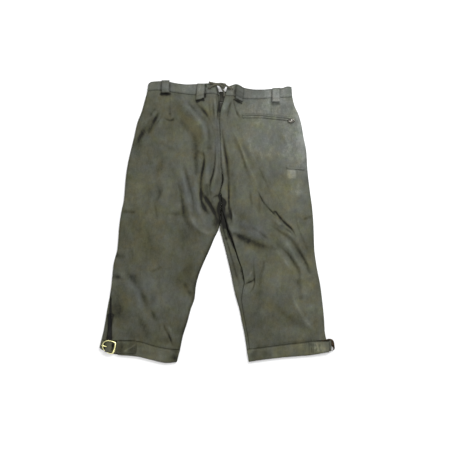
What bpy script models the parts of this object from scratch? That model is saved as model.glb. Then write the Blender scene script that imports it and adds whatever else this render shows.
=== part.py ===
"""Leather knee breeches, laid flat with the back up.

Sizes are in millimetres and are turned into metres when the meshes are made. +Z is up
and +Y runs from the knees to the waist. The origin is the middle of the footprint, on
the surface that the breeches lie on. "Left" and "right" are the halves at -X and +X.
"""

import bpy
import bmesh
import numpy as np
from math import cos, radians, sin
from mathutils import Matrix, Vector

MM = 0.001

# ---------------------------------------------------------------- driving dimensions

LEATHER = 1.5                 # wall of every panel
SEAM_GAP = 0.4                # between two pieces that are sewn together
EDGE_GAP = 0.6                # between back and front where they meet round an edge
LAY_GAP = 0.5                 # under a piece that lies on another

EDGE_MID = 3.2                # height where back and front meet round an outer edge
PANEL_TOP = 6.5               # outer face of a back panel that lies plainly on its front
LOWEST_TOP = 4.4              # lowest that a crease takes it
EDGE_ROUND = 6.0              # how far in from an outer edge the panels round over
EDGE_FLOOR_REACH = 22.0       # no crease goes below PANEL_TOP nearer to an edge than this

CROTCH_Y = 52.0               # where the centre-back seam meets the legs' inner edges
CROTCH_BLEND = 24.0           # length over which the seam dives between the legs
HIP_LINE_Y = 150.0            # above it the rows of a panel follow its own waist seam

WAISTBAND_WALL = 2.4
WAISTBAND_TOP = 8.6
WAISTBAND_HEIGHT = 28.0
FRONT_CENTRE_Y = 317.0        # waist seam at the centre front, lower than at the back
FRONT_DIP = (0.55, 0.35)      # where the front's seam is still this share of the way up
SIDE_BLEND = 60.0             # length by a side over which the front's band takes its height
KNEE_BAND_WALL = 2.2
KNEE_BAND_TOP = 7.6
BAND_ROUND = 4.0
FOLD_CLEARANCE, END_CLEARANCE = 6.0, 0.5   # no shared point nearer to a band's fold or end

LOOP_WIDTH, LOOP_WALL, LOOP_ARCH = 21.0, 2.0, 2.6
LACE_DIAMETER = 3.2
EYELET_OUTER, EYELET_INNER, EYELET_HEIGHT = 8.4, 5.0, 0.9
EYELET_BEVEL = EYELET_LIFT = 0.3
WELT_WIDTH, WELT_WALL, WELT_SLIT = 4.4, 1.2, 0.6
BUTTON_DIAMETER, BUTTON_HEIGHT = 18.0, 3.6
BUCKLE_LENGTH, BUCKLE_WIDTH, BUCKLE_WIRE = 37.0, 34.0, 3.6
BUCKLE_ROUND, BUCKLE_CORNER = 9.0, 5.0
PRONG_WIRE = 2.8
STRAP_WALL, STRAP_WIDTH = 1.8, 22.0
TAB_WALL = 1.6
TAB_WIDTHS = {"left": 33.0, "right": 30.0}
KNEE_WRAP = 9.0               # how far the left band's front end comes over on to the top

# ------------------------------------------------------------------------- outlines
# Each table goes from the waist to the knee. y: height along the breeches, x: the edge.

OUTER_EDGE = {
    "left": [
        (346.0, -181.5), (326.0, -187.0), (294.0, -197.5), (262.5, -210.5),
        (222.5, -220.0), (183.0, -229.5), (151.0, -237.5), (111.5, -244.0),
        (58.5, -248.0), (24.0, -253.5), (-16.0, -259.0), (-69.0, -264.0),
        (-111.5, -273.0), (-167.0, -277.0), (-199.0, -285.0), (-230.5, -291.0),
        (-286.0, -299.5), (-313.0, -304.0)],
    "right": [
        (330.5, 199.5), (310.0, 202.5), (283.5, 213.0), (257.0, 222.0),
        (222.5, 229.5), (185.5, 236.5), (138.0, 239.5), (85.0, 245.5),
        (32.0, 251.5), (-10.5, 254.0), (-69.0, 256.0), (-119.0, 261.0),
        (-167.0, 273.0), (-214.5, 277.5), (-262.5, 282.0), (-289.0, 284.5),
        (-312.5, 289.5)]}

# The centre-back seam, then each leg's inner edge. The lacing notch parts them on top.
CENTRE_SEAM = [
    (275.5, 6.5), (217.5, 9.5), (151.0, 11.0), (114.0, 16.0), (79.5, 9.5),
    (50.5, 12.5), (18.5, 9.8)]
INNER_EDGE = {
    "left": CENTRE_SEAM + [
        (-6.0, 8.0), (-22.0, 3.0), (-42.5, -8.0), (-71.5, -20.0), (-103.5, -34.5),
        (-140.5, -49.5), (-169.5, -57.0), (-201.5, -60.5), (-230.5, -70.5),
        (-267.5, -80.5), (-302.0, -91.5), (-338.0, -99.0)],
    "right": CENTRE_SEAM + [
        (-16.0, 10.5), (-42.5, 15.5), (-71.5, 23.0), (-103.5, 30.5), (-140.5, 39.0),
        (-169.5, 44.5), (-201.5, 52.0), (-230.5, 60.5), (-267.5, 69.0),
        (-302.0, 77.0), (-337.0, 82.5)]}
NOTCH_EDGE = {
    "left": [(333.0, 7.5), (303.0, 7.0)],
    "right": [(333.0, 28.0), (318.0, 21.0), (303.5, 14.0), (288.0, 9.0)]}
NOTCH_FRONT_X = 6.5           # the centre front, straight above the notch's foot

# x, y of the seams that cross the legs and the waist, from the left to the right.
WAIST_SEAM = {
    "left": [(-181.5, 346.0), (-158.5, 348.5), (-121.5, 343.5), (-94.5, 339.5),
             (-60.5, 336.0), (-29.5, 338.5), (-12.0, 340.0), (7.5, 333.0)],
    "right": [(28.0, 333.0), (45.0, 332.5), (71.0, 325.5), (107.0, 325.0),
              (144.0, 328.0), (168.0, 328.5), (199.5, 330.5)]}
WAIST_TOP = {
    "left": [(-180.0, 364.5), (-171.0, 371.0), (-145.0, 373.0), (-124.0, 370.5),
             (-107.0, 366.5), (-78.0, 363.5), (-50.0, 365.5), (-25.0, 367.0), (-0.5, 363.5)],
    "right": [(30.0, 356.0), (41.5, 361.5), (50.5, 364.5), (62.0, 360.5), (72.0, 354.5),
              (105.0, 350.0), (142.0, 350.5), (169.0, 353.0), (187.0, 359.5), (198.0, 358.0)]}
HEM_SEAM = {
    "left": [(-304.0, -312.0), (-264.5, -314.0), (-235.0, -314.0), (-203.0, -317.0),
             (-169.5, -327.0), (-124.5, -336.0), (-99.0, -338.0)],
    "right": [(82.5, -337.0), (128.5, -331.0), (172.0, -325.0), (221.0, -319.5),
              (258.0, -315.0), (289.5, -312.0)]}
KNEE_BOTTOM = {
    "left": [(-309.0, -332.0), (-290.5, -345.5), (-260.5, -351.5), (-212.5, -355.5),
             (-174.0, -364.5), (-133.0, -372.5), (-106.0, -369.5)],
    "right": [(87.0, -368.0), (119.5, -364.0), (172.0, -359.0), (221.0, -355.0),
              (255.0, -352.5), (299.5, -344.0)]}

# How far a front panel wraps over an edge on to the top: y, front's edge, back's edge.
INSEAM_WRAP = {
    "left": [],
    "right": [(36.0, 0.0, 0.0), (2.5, 14.5, 14.5), (-22.5, 21.0, 21.0),
              (-65.0, 26.0, 26.0), (-94.0, 28.0, 28.0), (-130.0, 32.0, 32.0),
              (-160.0, 31.0, 31.0), (-185.0, 21.0, 21.0), (-215.0, 11.0, 11.0),
              (-245.0, 8.0, 8.0), (-338.0, 7.0, 7.0)]}
VENT_WRAP = {
    "left": [(-168.0, 0.0, 0.0), (-206.0, 3.0, 5.0), (-257.0, 8.0, 17.0),
             (-314.0, 16.0, 31.0)],
    "right": []}

# --------------------------------------------------------------------- small pieces

KNEE_BACK_END = {"left": -262.0, "right": 247.0}   # where a knee band ends on top
KNEE_FRONT_END = 288.0                             # and, at the right, underneath
STRAP_SEAM = 5.6                                   # from the left band's wrap to its strap
STRAP_FOLD_X = 303.0                               # where the right strap turns under
TAB_ENDS = {"left": (-264.0, -213.0), "right": (243.0, 296.7)}
BUCKLES = {                                        # x, y, z, turn in degrees
    "left": (-286.0, -330.5, 9.8, -17.0),
    "right": (293.0, -330.0, 4.5, 4.0)}
PRONGS = {                                         # from the rim to the bar, and lift
    "left": (-18.0, 18.0, 3.5),
    "right": (-6.5, 13.2, 0.0)}
BELT_LOOPS = {                                     # name, x, y, length, turn in degrees
    "left": [("belt_loop_left_outer", -135.5, 358.0, 32.0, 0.0),
             ("belt_loop_left_inner", -42.5, 345.0, 41.0, -8.0)],
    "right": [("belt_loop_right_inner", 61.5, 340.0, 38.0, -15.0),
              ("belt_loop_right_outer", 156.5, 335.5, 36.5, 0.0)]}
LACES = {                                          # the lace's route from each eyelet
    "left": [(-21, 352.5, 10.6), (-16, 352.6, 12.2), (-7, 353.6, 12.2), (4, 357.0, 11.6),
             (11, 362.4, 10.2), (17, 364.4, 11.0), (22.5, 361.6, 13.0),
             (24, 356.5, 13.8), (22.8, 349, 11.4), (20.5, 342, 8.6), (18, 336.5, 7.0)],
    "right": [(39, 351.5, 10.6), (34.5, 353.2, 12.2), (30, 354.9, 11.8), (24.5, 356.6, 10.1),
              (18, 357.8, 10.8), (13, 359.8, 12.8), (9.5, 362.8, 14.0), (4, 366.0, 13.0),
              (-4, 368.5, 10.0), (-13, 370.0, 6.5), (-21.5, 371.0, 4.0)]}
POCKET_SLIT = [(68, 279.5), (112, 280), (144, 277), (184, 273), (206, 269.5)]
KNIFE_SLIT = [(184, 143), (208, 141.5), (232.5, 139.5)]
KNIFE_WELT = 5.0
BUTTON_PLACE = (196.5, 267.5)
LOOP_STEP = 2.0               # how far past the seam a belt loop still clears the band

# A belt loop's rows: place along it and rise, as shares of its length and its arch.
LOOP_ARCH_ROWS = [(-0.5, 0.0), (-0.32, 0.0), (-0.22, 1.0), (0.0, 1.15), (0.22, 1.0),
                  (0.32, 0.0), (0.5, 0.0)]
# The button's outline: radius and height, as shares of its own.
BUTTON_PROFILE = [(0.0, 1.0), (0.55, 0.95), (0.92, 0.7), (1.0, 0.35), (0.9, 0.0), (0.0, 0.0)]
# How far round a place the panel is felt for, to lay a small piece clear of its creases.
LOOP_REACH, WELT_REACH, BUTTON_REACH = 3.0, 4.0, 9.0

# ----------------------------------------------------------------------- soft forms
# Broad swells of the leather: centre x, y, half-lengths along x and y, rise.

SWELLS = [
    ("left seat", -110.0, 235.0, 95.0, 85.0, 4.0),
    ("right seat", 120.0, 200.0, 90.0, 90.0, 4.0),
    ("left thigh", -150.0, 55.0, 80.0, 95.0, 3.5),
    ("right thigh", 160.0, 20.0, 75.0, 90.0, 4.0),
    ("left knee", -190.0, -190.0, 75.0, 95.0, 3.5),
    ("right knee", 185.0, -180.0, 80.0, 90.0, 4.0)]

# Folds: half-width, rise (a crease is below zero), then the points of its line.
FOLDS = [
    ("ridge from the waist to the seat", 12.0, 5.0,
     [(-111, 335), (-78, 308), (-47, 280), (-36, 250)]),
    ("crease beside that ridge", 8.0, -3.0, [(-69, 312), (-52, 288), (-27, 262)]),
    ("hip crease, left", 8.0, -3.0, [(-155, 285), (-170, 262), (-181, 234)]),
    ("hip ridge, left", 9.0, 3.5, [(-176, 292), (-192, 262), (-206, 232)]),
    ("seat crease, outer", 9.0, -3.0, [(-33, 168), (-37, 135), (-41, 95), (-33, 38)]),
    ("seat ridge, left", 8.0, 3.5, [(-20, 178), (-24, 140), (-28, 100), (-22, 48)]),
    ("seat crease, left", 7.0, -3.0, [(-5, 195), (-8, 137), (-15, 95), (-17, 60)]),
    ("seat crease, right", 8.0, -3.0, [(17, 226), (25, 163), (32, 100), (31, 34)]),
    ("seat ridge, right", 10.0, 3.5, [(30, 215), (42, 150), (49, 92), (47, 40)]),
    ("thigh crease, right", 10.0, -3.0, [(53, 220), (87, 149), (119, 82), (128, 50)]),
    ("thigh ridge, right", 13.0, 3.0, [(75, 215), (108, 150), (138, 85), (150, 48)]),
    ("thigh crease, low", 8.0, -2.5, [(116, 70), (139, 35), (150, 20)]),
    ("inner fold, ridge", 11.0, 6.0,
     [(44, -14), (70, -24), (102, -45), (144, -62), (170, -88)]),
    ("inner fold, crease", 8.0, -3.0, [(47, -34), (90, -47), (130, -66), (145, -66)]),
    ("calf trough, right", 14.0, -3.0,
     [(120, -30), (157, -49), (188, -84), (214, -122), (215, -158), (202, -184)]),
    ("calf ridge, right", 12.0, 3.5, [(166, -20), (205, -55), (232, -100), (240, -135)]),
    ("thigh trough, left", 16.0, -3.0, [(-135, 164), (-158, 90), (-162, 30), (-108, 24)]),
    ("calf crease, left", 9.0, -2.5, [(-234, -136), (-210, -163), (-192, -190), (-194, -208)]),
    ("hem crease, left", 8.0, -2.5, [(-141, -276), (-128, -297), (-118, -326)])]
FOLD_END = 0.22               # share of a fold's length over which each end fades
FOLD_STEP = 5.0               # spacing of the points that a fold's line is read at
WELT_STEP, LACE_STEP = 7.0, 3.2
FLOOR_BLEND = 0.6             # height over which a crease runs out at LOWEST_TOP

# ----------------------------------------------------------------------- mesh detail

LEG_ROWS, HIP_ROWS = 27, 12
BACK_COLUMNS, FRONT_COLUMNS = 13, 4
EDGE_ANGLES = [0.0, 4.0, 28.0, 58.0, 90.0]
WRAP_COLUMNS = 3
BAND_STEP = 12.0

# ------------------------------------------------------------------------- materials
# colour, roughness, metallic

FINISHES = {
    "leather": ((0.085, 0.085, 0.062), 0.50, 0.0),
    "leather_trim": ((0.070, 0.070, 0.052), 0.48, 0.0),
    "lace_leather": ((0.035, 0.028, 0.022), 0.60, 0.0),
    "brass": ((0.62, 0.45, 0.15), 0.30, 1.0),
    "dark_metal": ((0.10, 0.10, 0.11), 0.35, 1.0)}


# ---------------------------------------------------------------------------- curves

def smooth_curve(table):
    """Reads a curve through rows of (position, value), with no overshoot."""
    position, value = np.array(sorted(table), dtype=float).T
    step = np.diff(position)
    slope = np.diff(value) / step
    tangent = np.zeros(len(position))
    tangent[0], tangent[-1] = slope[0], slope[-1]
    for i in range(1, len(slope)):
        before, after = slope[i - 1], slope[i]
        if before * after > 0:
            tangent[i] = 2 * before * after / (before + after)

    def read(at):
        at = np.clip(np.asarray(at, dtype=float), position[0], position[-1])
        i = np.clip(np.searchsorted(position, at) - 1, 0, len(step) - 1)
        u = (at - position[i]) / step[i]
        return ((1 + 2 * u) * (1 - u) ** 2 * value[i]
                + u * (1 - u) ** 2 * step[i] * tangent[i]
                + u * u * (3 - 2 * u) * value[i + 1]
                + u * u * (u - 1) * step[i] * tangent[i + 1])
    return read


def smooth_step(x):
    x = np.clip(x, 0.0, 1.0)
    return x * x * (3 - 2 * x)


def mix(a, b, share):
    return a + (b - a) * share


def flowing_line(points, step):
    """Points every step along a smooth line through the given ones."""
    points = np.array(points, dtype=float)
    chord = np.r_[0.0, np.cumsum(np.linalg.norm(np.diff(points, axis=0), axis=1))]
    count = max(2, int(round(chord[-1] / step)) + 1)
    at = np.linspace(0.0, chord[-1], count)
    axes = [smooth_curve(list(zip(chord, column)))(at) for column in points.T]
    return np.stack(axes, axis=1)


# --------------------------------------------------------------------- the soft form

def fold_height(x, y, half_width, rise, points):
    """What one fold adds at each place."""
    line = flowing_line(points, FOLD_STEP)
    away = np.hypot(x[..., None] - line[:, 0], y[..., None] - line[:, 1])
    nearest = away.argmin(axis=-1)
    along = nearest / (len(line) - 1)
    fade = smooth_step(along / FOLD_END) * smooth_step((1 - along) / FOLD_END)
    return rise * fade * np.exp(-(away.min(axis=-1) / half_width) ** 2)


def top_height(x, y):
    """Outer face of the back, where it is clear of the rounded edges."""
    x, y = np.broadcast_arrays(np.asarray(x, dtype=float), np.asarray(y, dtype=float))
    height = np.full(x.shape, PANEL_TOP)
    for _, centre_x, centre_y, half_x, half_y, rise in SWELLS:
        away = ((x - centre_x) / half_x) ** 2 + ((y - centre_y) / half_y) ** 2
        height = height + rise * np.exp(-away)
    for _, half_width, rise, points in FOLDS:
        height = height + fold_height(x, y, half_width, rise, points)
    spare = height - LOWEST_TOP
    return LOWEST_TOP + 0.5 * (spare + np.hypot(spare, FLOOR_BLEND))


def edge_height(x, y, from_edge):
    """The top's height, with no crease so near a rounded edge that its wall closes up."""
    height = top_height(x, y)
    share = smooth_step(from_edge / EDGE_FLOOR_REACH)
    return mix(np.maximum(height, PANEL_TOP), height, share)


def rounding(distance, radius):
    """0 at an edge, 1 from the radius inwards, as a quarter of an ellipse."""
    return np.sqrt(1 - (1 - np.clip(distance / radius, 0.0, 1.0)) ** 2)


def edge_steps(radius):
    return [radius * (1 - cos(radians(angle))) for angle in EDGE_ANGLES]


def closure(y):
    """0 where the halves are joined at the centre seam, 1 where the legs are apart."""
    return smooth_step((CROTCH_Y - y) / CROTCH_BLEND)


def wrap_curves(table):
    """Two curves: how far the front and the back panel's edges lie in from an edge."""
    if not table:
        return (lambda y: np.zeros_like(y)), (lambda y: np.zeros_like(y))
    return (smooth_curve([(y, front) for y, front, _ in table]),
            smooth_curve([(y, back) for y, _, back in table]))


class Half:
    """The outlines of one half, and points on its back and front by row and place."""

    def __init__(self, side):
        self.side = side
        self.sign = -1.0 if side == "left" else 1.0
        self.outer_x = smooth_curve(OUTER_EDGE[side])
        self.front_inner_x = smooth_curve(INNER_EDGE[side])
        self.back_inner_x = smooth_curve(NOTCH_EDGE[side] + INNER_EDGE[side])
        self.hem_y = smooth_curve(HEM_SEAM[side])
        self.back_waist_y = smooth_curve(WAIST_SEAM[side])
        outer_x, outer_y = WAIST_SEAM[side][0 if side == "left" else -1]
        dip_x, dip_y = FRONT_DIP[0] * outer_x, mix(FRONT_CENTRE_Y, outer_y, FRONT_DIP[1])
        self.front_waist_y = smooth_curve(
            [(outer_x, outer_y), (dip_x, dip_y), (NOTCH_FRONT_X, FRONT_CENTRE_Y)])
        self.waist_outer_y = outer_y
        self.inseam_front, self.inseam_back = wrap_curves(INSEAM_WRAP[side])
        self.vent_front, self.vent_back = wrap_curves(VENT_WRAP[side])
        ends = HEM_SEAM[side]
        self.hem_inner = ends[-1] if side == "left" else ends[0]
        self.hem_outer = ends[0] if side == "left" else ends[-1]

    def row(self, layer, level):
        """A row's ends and a function from its share, inner to outer, to its points.

        A level of 0 to 1 runs from the hem to the hip line, and 1 to 2 to the waist.
        """
        inner_x = self.back_inner_x if layer == "back" else self.front_inner_x
        waist_y = self.back_waist_y if layer == "back" else self.front_waist_y
        waist_inner_x = NOTCH_FRONT_X
        if layer == "back":
            waist_inner_x = NOTCH_EDGE[self.side][0][1]
        waist_outer_x = self.outer_x(self.waist_outer_y)
        leg, hip = min(level, 1.0), max(level - 1.0, 0.0)

        def y_at(share):
            hem = self.hem_y(mix(self.hem_inner[0], self.hem_outer[0], share))
            waist = waist_y(mix(waist_inner_x, waist_outer_x, share))
            return mix(mix(hem, HIP_LINE_Y, leg), waist, hip)

        y_inner, y_outer = y_at(0.0), y_at(1.0)
        gap = 0.5 * SEAM_GAP
        x_inner = inner_x(y_inner) + self.sign * gap
        x_outer = self.outer_x(y_outer)
        width = abs(x_outer - x_inner)

        def points(distance):
            share = np.asarray(distance) / width
            return mix(x_inner, x_outer, share), y_at(share)
        return y_inner, y_outer, width, points

    def back_row(self, level, columns):
        y_inner, y_outer, width, points = self.row("back", level)
        gap = 0.5 * SEAM_GAP
        inner_wrap = float(self.inseam_back(y_inner))
        outer_wrap = float(self.vent_back(y_outer))
        start = inner_wrap + (gap if inner_wrap > 0 else 0.0)
        end = width - outer_wrap - (gap if outer_wrap > 0 else 0.0)
        steps = np.array(edge_steps(EDGE_ROUND))
        distance = np.r_[start + steps[:-1],
                         np.linspace(start + steps[-1], end - steps[-1], columns),
                         (end - steps[:-1])[::-1]]
        x, y = points(distance)
        tip = EDGE_MID + 0.5 * EDGE_GAP
        closed = closure(y_inner)
        inner = 1 - closed * (1 - rounding(distance, EDGE_ROUND))
        from_edge = np.minimum(np.where(closed > 0, distance, width), width - distance)
        height = edge_height(x, y, from_edge)
        z = tip + (height - tip) * inner * rounding(width - distance, EDGE_ROUND)
        row = np.stack([x, y, z], axis=1)
        return row[::-1] if self.side == "left" else row

    def front_row(self, level, columns):
        y_inner, y_outer, width, points = self.row("front", level)
        gap = 0.5 * SEAM_GAP
        tip = EDGE_MID - 0.5 * EDGE_GAP
        closed = closure(y_inner)
        steps = np.array(edge_steps(EDGE_ROUND))
        under = np.r_[steps[:-1], np.linspace(steps[-1], width - steps[-1], columns),
                      (width - steps[:-1])[::-1]]
        x, y = points(under)
        inner = closed * (1 - rounding(under, EDGE_ROUND))
        outer = 1 - rounding(width - under, EDGE_ROUND)
        below = np.stack([x, y, tip * (inner + outer)], axis=1)

        def over(wrap, from_edge):
            """The strip on top, from the edge inwards, as long as the wrap."""
            reach = max(float(wrap) - gap, 0.0)
            inward = reach * np.arange(1, WRAP_COLUMNS + 1) / WRAP_COLUMNS
            x, y = points(from_edge(inward))
            z = tip + (edge_height(x, y, inward) - tip) * rounding(inward, EDGE_ROUND)
            return np.stack([x, y, np.where(inward > 0, z, tip)], axis=1)

        row = below
        if INSEAM_WRAP[self.side]:
            strip = over(self.inseam_front(y_inner) * closed, lambda inward: inward)
            if closed < 1:
                strip[:] = below[0]
            row = np.r_[strip[::-1], row]
        if VENT_WRAP[self.side]:
            row = np.r_[row, over(self.vent_front(y_outer), lambda inward: width - inward)]
        return row if self.side == "left" else row[::-1]


# ------------------------------------------------------------------------ mesh making

def material(name):
    made = bpy.data.materials.get(name)
    if made:
        return made
    colour, roughness, metallic = FINISHES[name]
    made = bpy.data.materials.new(name)
    made.use_nodes = True
    shader = made.node_tree.nodes["Principled BSDF"]
    shader.inputs["Base Color"].default_value = (*colour, 1.0)
    shader.inputs["Roughness"].default_value = roughness
    shader.inputs["Metallic"].default_value = metallic
    made.diffuse_color = (*colour, 1.0)
    return made


def add_object(name, data, finish):
    made = bpy.data.objects.new(name, data)
    data.materials.append(material(finish))
    bpy.data.collections["Knee breeches"].objects.link(made)
    return made


def sheet(name, rows, wall, finish):
    """An open surface through rows of points, with its wall grown inwards.

    The rows run towards +Y, and each goes to +X where the surface faces up.
    """
    grid = np.array(rows) * MM
    bm = bmesh.new()
    bmesh.ops.create_grid(bm, x_segments=grid.shape[1] - 1,
                          y_segments=grid.shape[0] - 1, size=1.0)
    for vert, point in zip(bm.verts, grid.reshape(-1, 3)):
        vert.co = point
    bmesh.ops.remove_doubles(bm, verts=bm.verts, dist=0.01 * MM)
    mesh = bpy.data.meshes.new(name)
    bm.to_mesh(mesh)
    bm.free()
    mesh.shade_smooth()
    made = add_object(name, mesh, finish)
    solidify = made.modifiers.new("Leather", "SOLIDIFY")
    solidify.thickness = wall * MM
    solidify.offset = -1.0
    return made


def tube(name, points, diameter, finish, cyclic=False, resolution=2):
    """A round wire or thong along points in millimetres."""
    curve = bpy.data.curves.new(name, "CURVE")
    curve.dimensions = "3D"
    curve.bevel_depth = 0.5 * diameter * MM
    curve.bevel_resolution = resolution
    curve.use_fill_caps = not cyclic
    spline = curve.splines.new("POLY")
    spline.points.add(len(points) - 1)
    for spot, point in zip(spline.points, points):
        spot.co = (*(Vector(point) * MM), 1.0)
    spline.use_cyclic_u = cyclic
    spline.use_smooth = True
    return add_object(name, curve, finish)


def turned(name, profile, place, finish, steps=24, closed=False):
    """A ring or a knob: a profile of (radius, height), outer side first, turned round Z."""
    mesh = bpy.data.meshes.new(name)
    edges = [(i, i + 1) for i in range(len(profile) - 1)]
    if closed:
        edges.append((len(profile) - 1, 0))
    mesh.from_pydata([(r * MM, 0.0, z * MM) for r, z in profile], edges, [])
    made = add_object(name, mesh, finish)
    made.location = Vector(place) * MM
    screw = made.modifiers.new("Turn", "SCREW")
    screw.axis = "Z"
    screw.steps = screw.render_steps = steps
    screw.use_merge_vertices = True
    screw.merge_threshold = 0.00001
    screw.use_smooth_shade = True
    return made


# ------------------------------------------------------------------------ the panels

def panel_rows(half, make_row, columns):
    levels = np.r_[np.linspace(0, 1, LEG_ROWS + 1), np.linspace(1, 2, HIP_ROWS + 1)[1:]]
    return [make_row(level, columns) for level in levels]


def shrink_ends(rows, gap):
    """Draws the first and last row in, so that the seams across the panel stay open."""
    rows = [row.copy() for row in rows]
    rows[0][:, 1] += gap
    rows[-1][:, 1] -= gap
    return rows


def build_panels(half):
    back = panel_rows(half, half.back_row, BACK_COLUMNS)
    sheet(f"back_{half.side}", shrink_ends(back, 0.5 * SEAM_GAP), LEATHER, "leather")
    front = panel_rows(half, half.front_row, FRONT_COLUMNS)
    sheet(f"front_{half.side}", shrink_ends(front, 0.5 * SEAM_GAP), LEATHER, "leather")


# ------------------------------------------------------------------------- the bands

def stretch(start, end, level, folds, shares):
    """x and z along one stretch of a band at a level, rounded to EDGE_MID at its folds.

    folds says whether the start and the end are folds, and shares gives its points
    between the two, as shares of its length.
    """
    length = abs(end - start)
    steps = np.array(edge_steps(BAND_ROUND))
    distance = np.r_[steps if folds[0] else [0.0], np.array(shares) * length,
                     length - steps[::-1] if folds[1] else [length]]
    x = start + np.sign(end - start) * distance
    bend = folds[0] * (1 - rounding(distance, BAND_ROUND))
    bend = bend + folds[1] * (1 - rounding(length - distance, BAND_ROUND))
    return x, level + (EDGE_MID - level) * bend


def shares_between(start, end, folds, places):
    """A stretch's inner points as shares of its length, clear of its rounded folds."""
    length = abs(end - start)
    if places is None:
        places = np.linspace(0.0, length, max(2, int(length / BAND_STEP)) + 1)[1:-1]
    low = FOLD_CLEARANCE if folds[0] else END_CLEARANCE
    high = length - (FOLD_CLEARANCE if folds[1] else END_CLEARANCE)
    return [place / length for place in places if low < place < high]


def band(name, stretches, wall, finish, sewn_edge=0, width_rows=4):
    """A band from its stretches, in order along it.

    Each is (start, end, level, folds, y_low, y_high, places). start and end are x at the
    band's lower and upper edge, y_low and y_high give its edges at any x, and places
    are distances from the start along the sewn edge, 0 for the lower and 1 for the
    upper, shared with the panel that it is sewn to.
    """
    shares = [shares_between(start[sewn_edge], end[sewn_edge], folds, places)
              for start, end, _, folds, _, _, places in stretches]
    rows = []
    for up in np.linspace(0, 1, width_rows + 1):
        parts = []
        for (start, end, level, folds, y_low, y_high, _), inner in zip(stretches, shares):
            x, z = stretch(mix(*start, up), mix(*end, up), level, folds, inner)
            part = np.stack([x, mix(y_low(x), y_high(x), up), z], axis=1)
            parts.append(part[1:] if parts else part)
        rows.append(np.concatenate(parts))
    return sheet(name, rows, wall, finish)


def shared_places(row, start, end):
    """Distances from start to a panel row's points, in order."""
    return np.unique(np.round(np.sign(end - start) * (row[:, 0] - start), 3))


def build_waistband(half):
    side, sign = half.side, half.sign
    gap = 0.5 * SEAM_GAP
    top_edge = smooth_curve(WAIST_TOP[side])
    fold = [float(half.outer_x(half.waist_outer_y)), WAIST_TOP[side][0][0]]
    notch = [NOTCH_EDGE[side][0][1], WAIST_TOP[side][-1][0]]
    if side == "right":
        fold[1], notch[1] = WAIST_TOP[side][-1][0], WAIST_TOP[side][0][0]
    centre = [NOTCH_FRONT_X + sign * gap] * 2
    side_height = float(top_edge(fold[1])) - half.waist_outer_y

    def back_seam(x):
        return half.back_waist_y(x) + gap

    def front_seam(x):
        return half.front_waist_y(x) + gap

    def front_top(x):
        near_fold = smooth_step(1 - np.abs(x - fold[0]) / SIDE_BLEND)
        return front_seam(x) + mix(WAISTBAND_HEIGHT, side_height, near_fold)

    back_places = shared_places(half.back_row(2.0, BACK_COLUMNS), fold[0], notch[0])
    front_places = shared_places(half.front_row(2.0, FRONT_COLUMNS), fold[0], centre[0])
    back = (fold, notch, WAISTBAND_TOP, (1, 0), back_seam, top_edge, back_places)
    front = (fold, centre, 0.0, (1, 0), front_seam, front_top, front_places)
    # The stretches run from the centre front to the notch or the other way, so that the
    # upper one always goes to +X.
    if side == "left":
        stretches = [turned_round(front), back]
    else:
        stretches = [turned_round(back), front]
    band(f"waistband_{side}", stretches, WAISTBAND_WALL, "leather_trim")


def turned_round(one, sewn_edge=0):
    """The same stretch of a band, from its end to its start."""
    start, end, level, folds, y_low, y_high, places = one
    places = (abs(end[sewn_edge] - start[sewn_edge]) - places)[::-1]
    return end, start, level, folds[::-1], y_low, y_high, places


def build_knee_band(half):
    side = half.side
    gap = 0.5 * SEAM_GAP
    bottom = smooth_curve(KNEE_BOTTOM[side])
    ends = KNEE_BOTTOM[side]
    inner = [ends[-1][0] if side == "left" else ends[0][0], half.hem_inner[0]]
    back_end = [KNEE_BACK_END[side]] * 2
    outer_low = ends[0][0] if side == "left" else KNEE_FRONT_END
    outer = [outer_low, half.hem_outer[0] if side == "left" else KNEE_FRONT_END]

    def seam(x):
        return half.hem_y(x) - gap

    back_places = shared_places(half.back_row(0.0, BACK_COLUMNS), inner[1], back_end[1])
    front_places = shared_places(half.front_row(0.0, FRONT_COLUMNS), inner[1], outer[1])
    back = (inner, back_end, KNEE_BAND_TOP, (1, 0), bottom, seam, back_places)
    if side == "left":
        wrap_end = [outer[0] + KNEE_WRAP, outer[1] + KNEE_WRAP]
        front = (inner, outer, 0.0, (1, 1), bottom, seam, front_places)
        wrap = (outer, wrap_end, KNEE_BAND_TOP, (1, 0), bottom, seam, None)
        stretches = [turned_round(back, 1), front, wrap]
    else:
        front = (inner, outer, 0.0, (1, 0), bottom, seam, front_places)
        stretches = [turned_round(front, 1), back]
    band(f"knee_band_{side}", stretches, KNEE_BAND_WALL, "leather_trim", sewn_edge=1)


# ------------------------------------------------------------- straps, tabs, buckles

def level_line(y):
    return lambda x: np.full_like(x, y)


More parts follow.
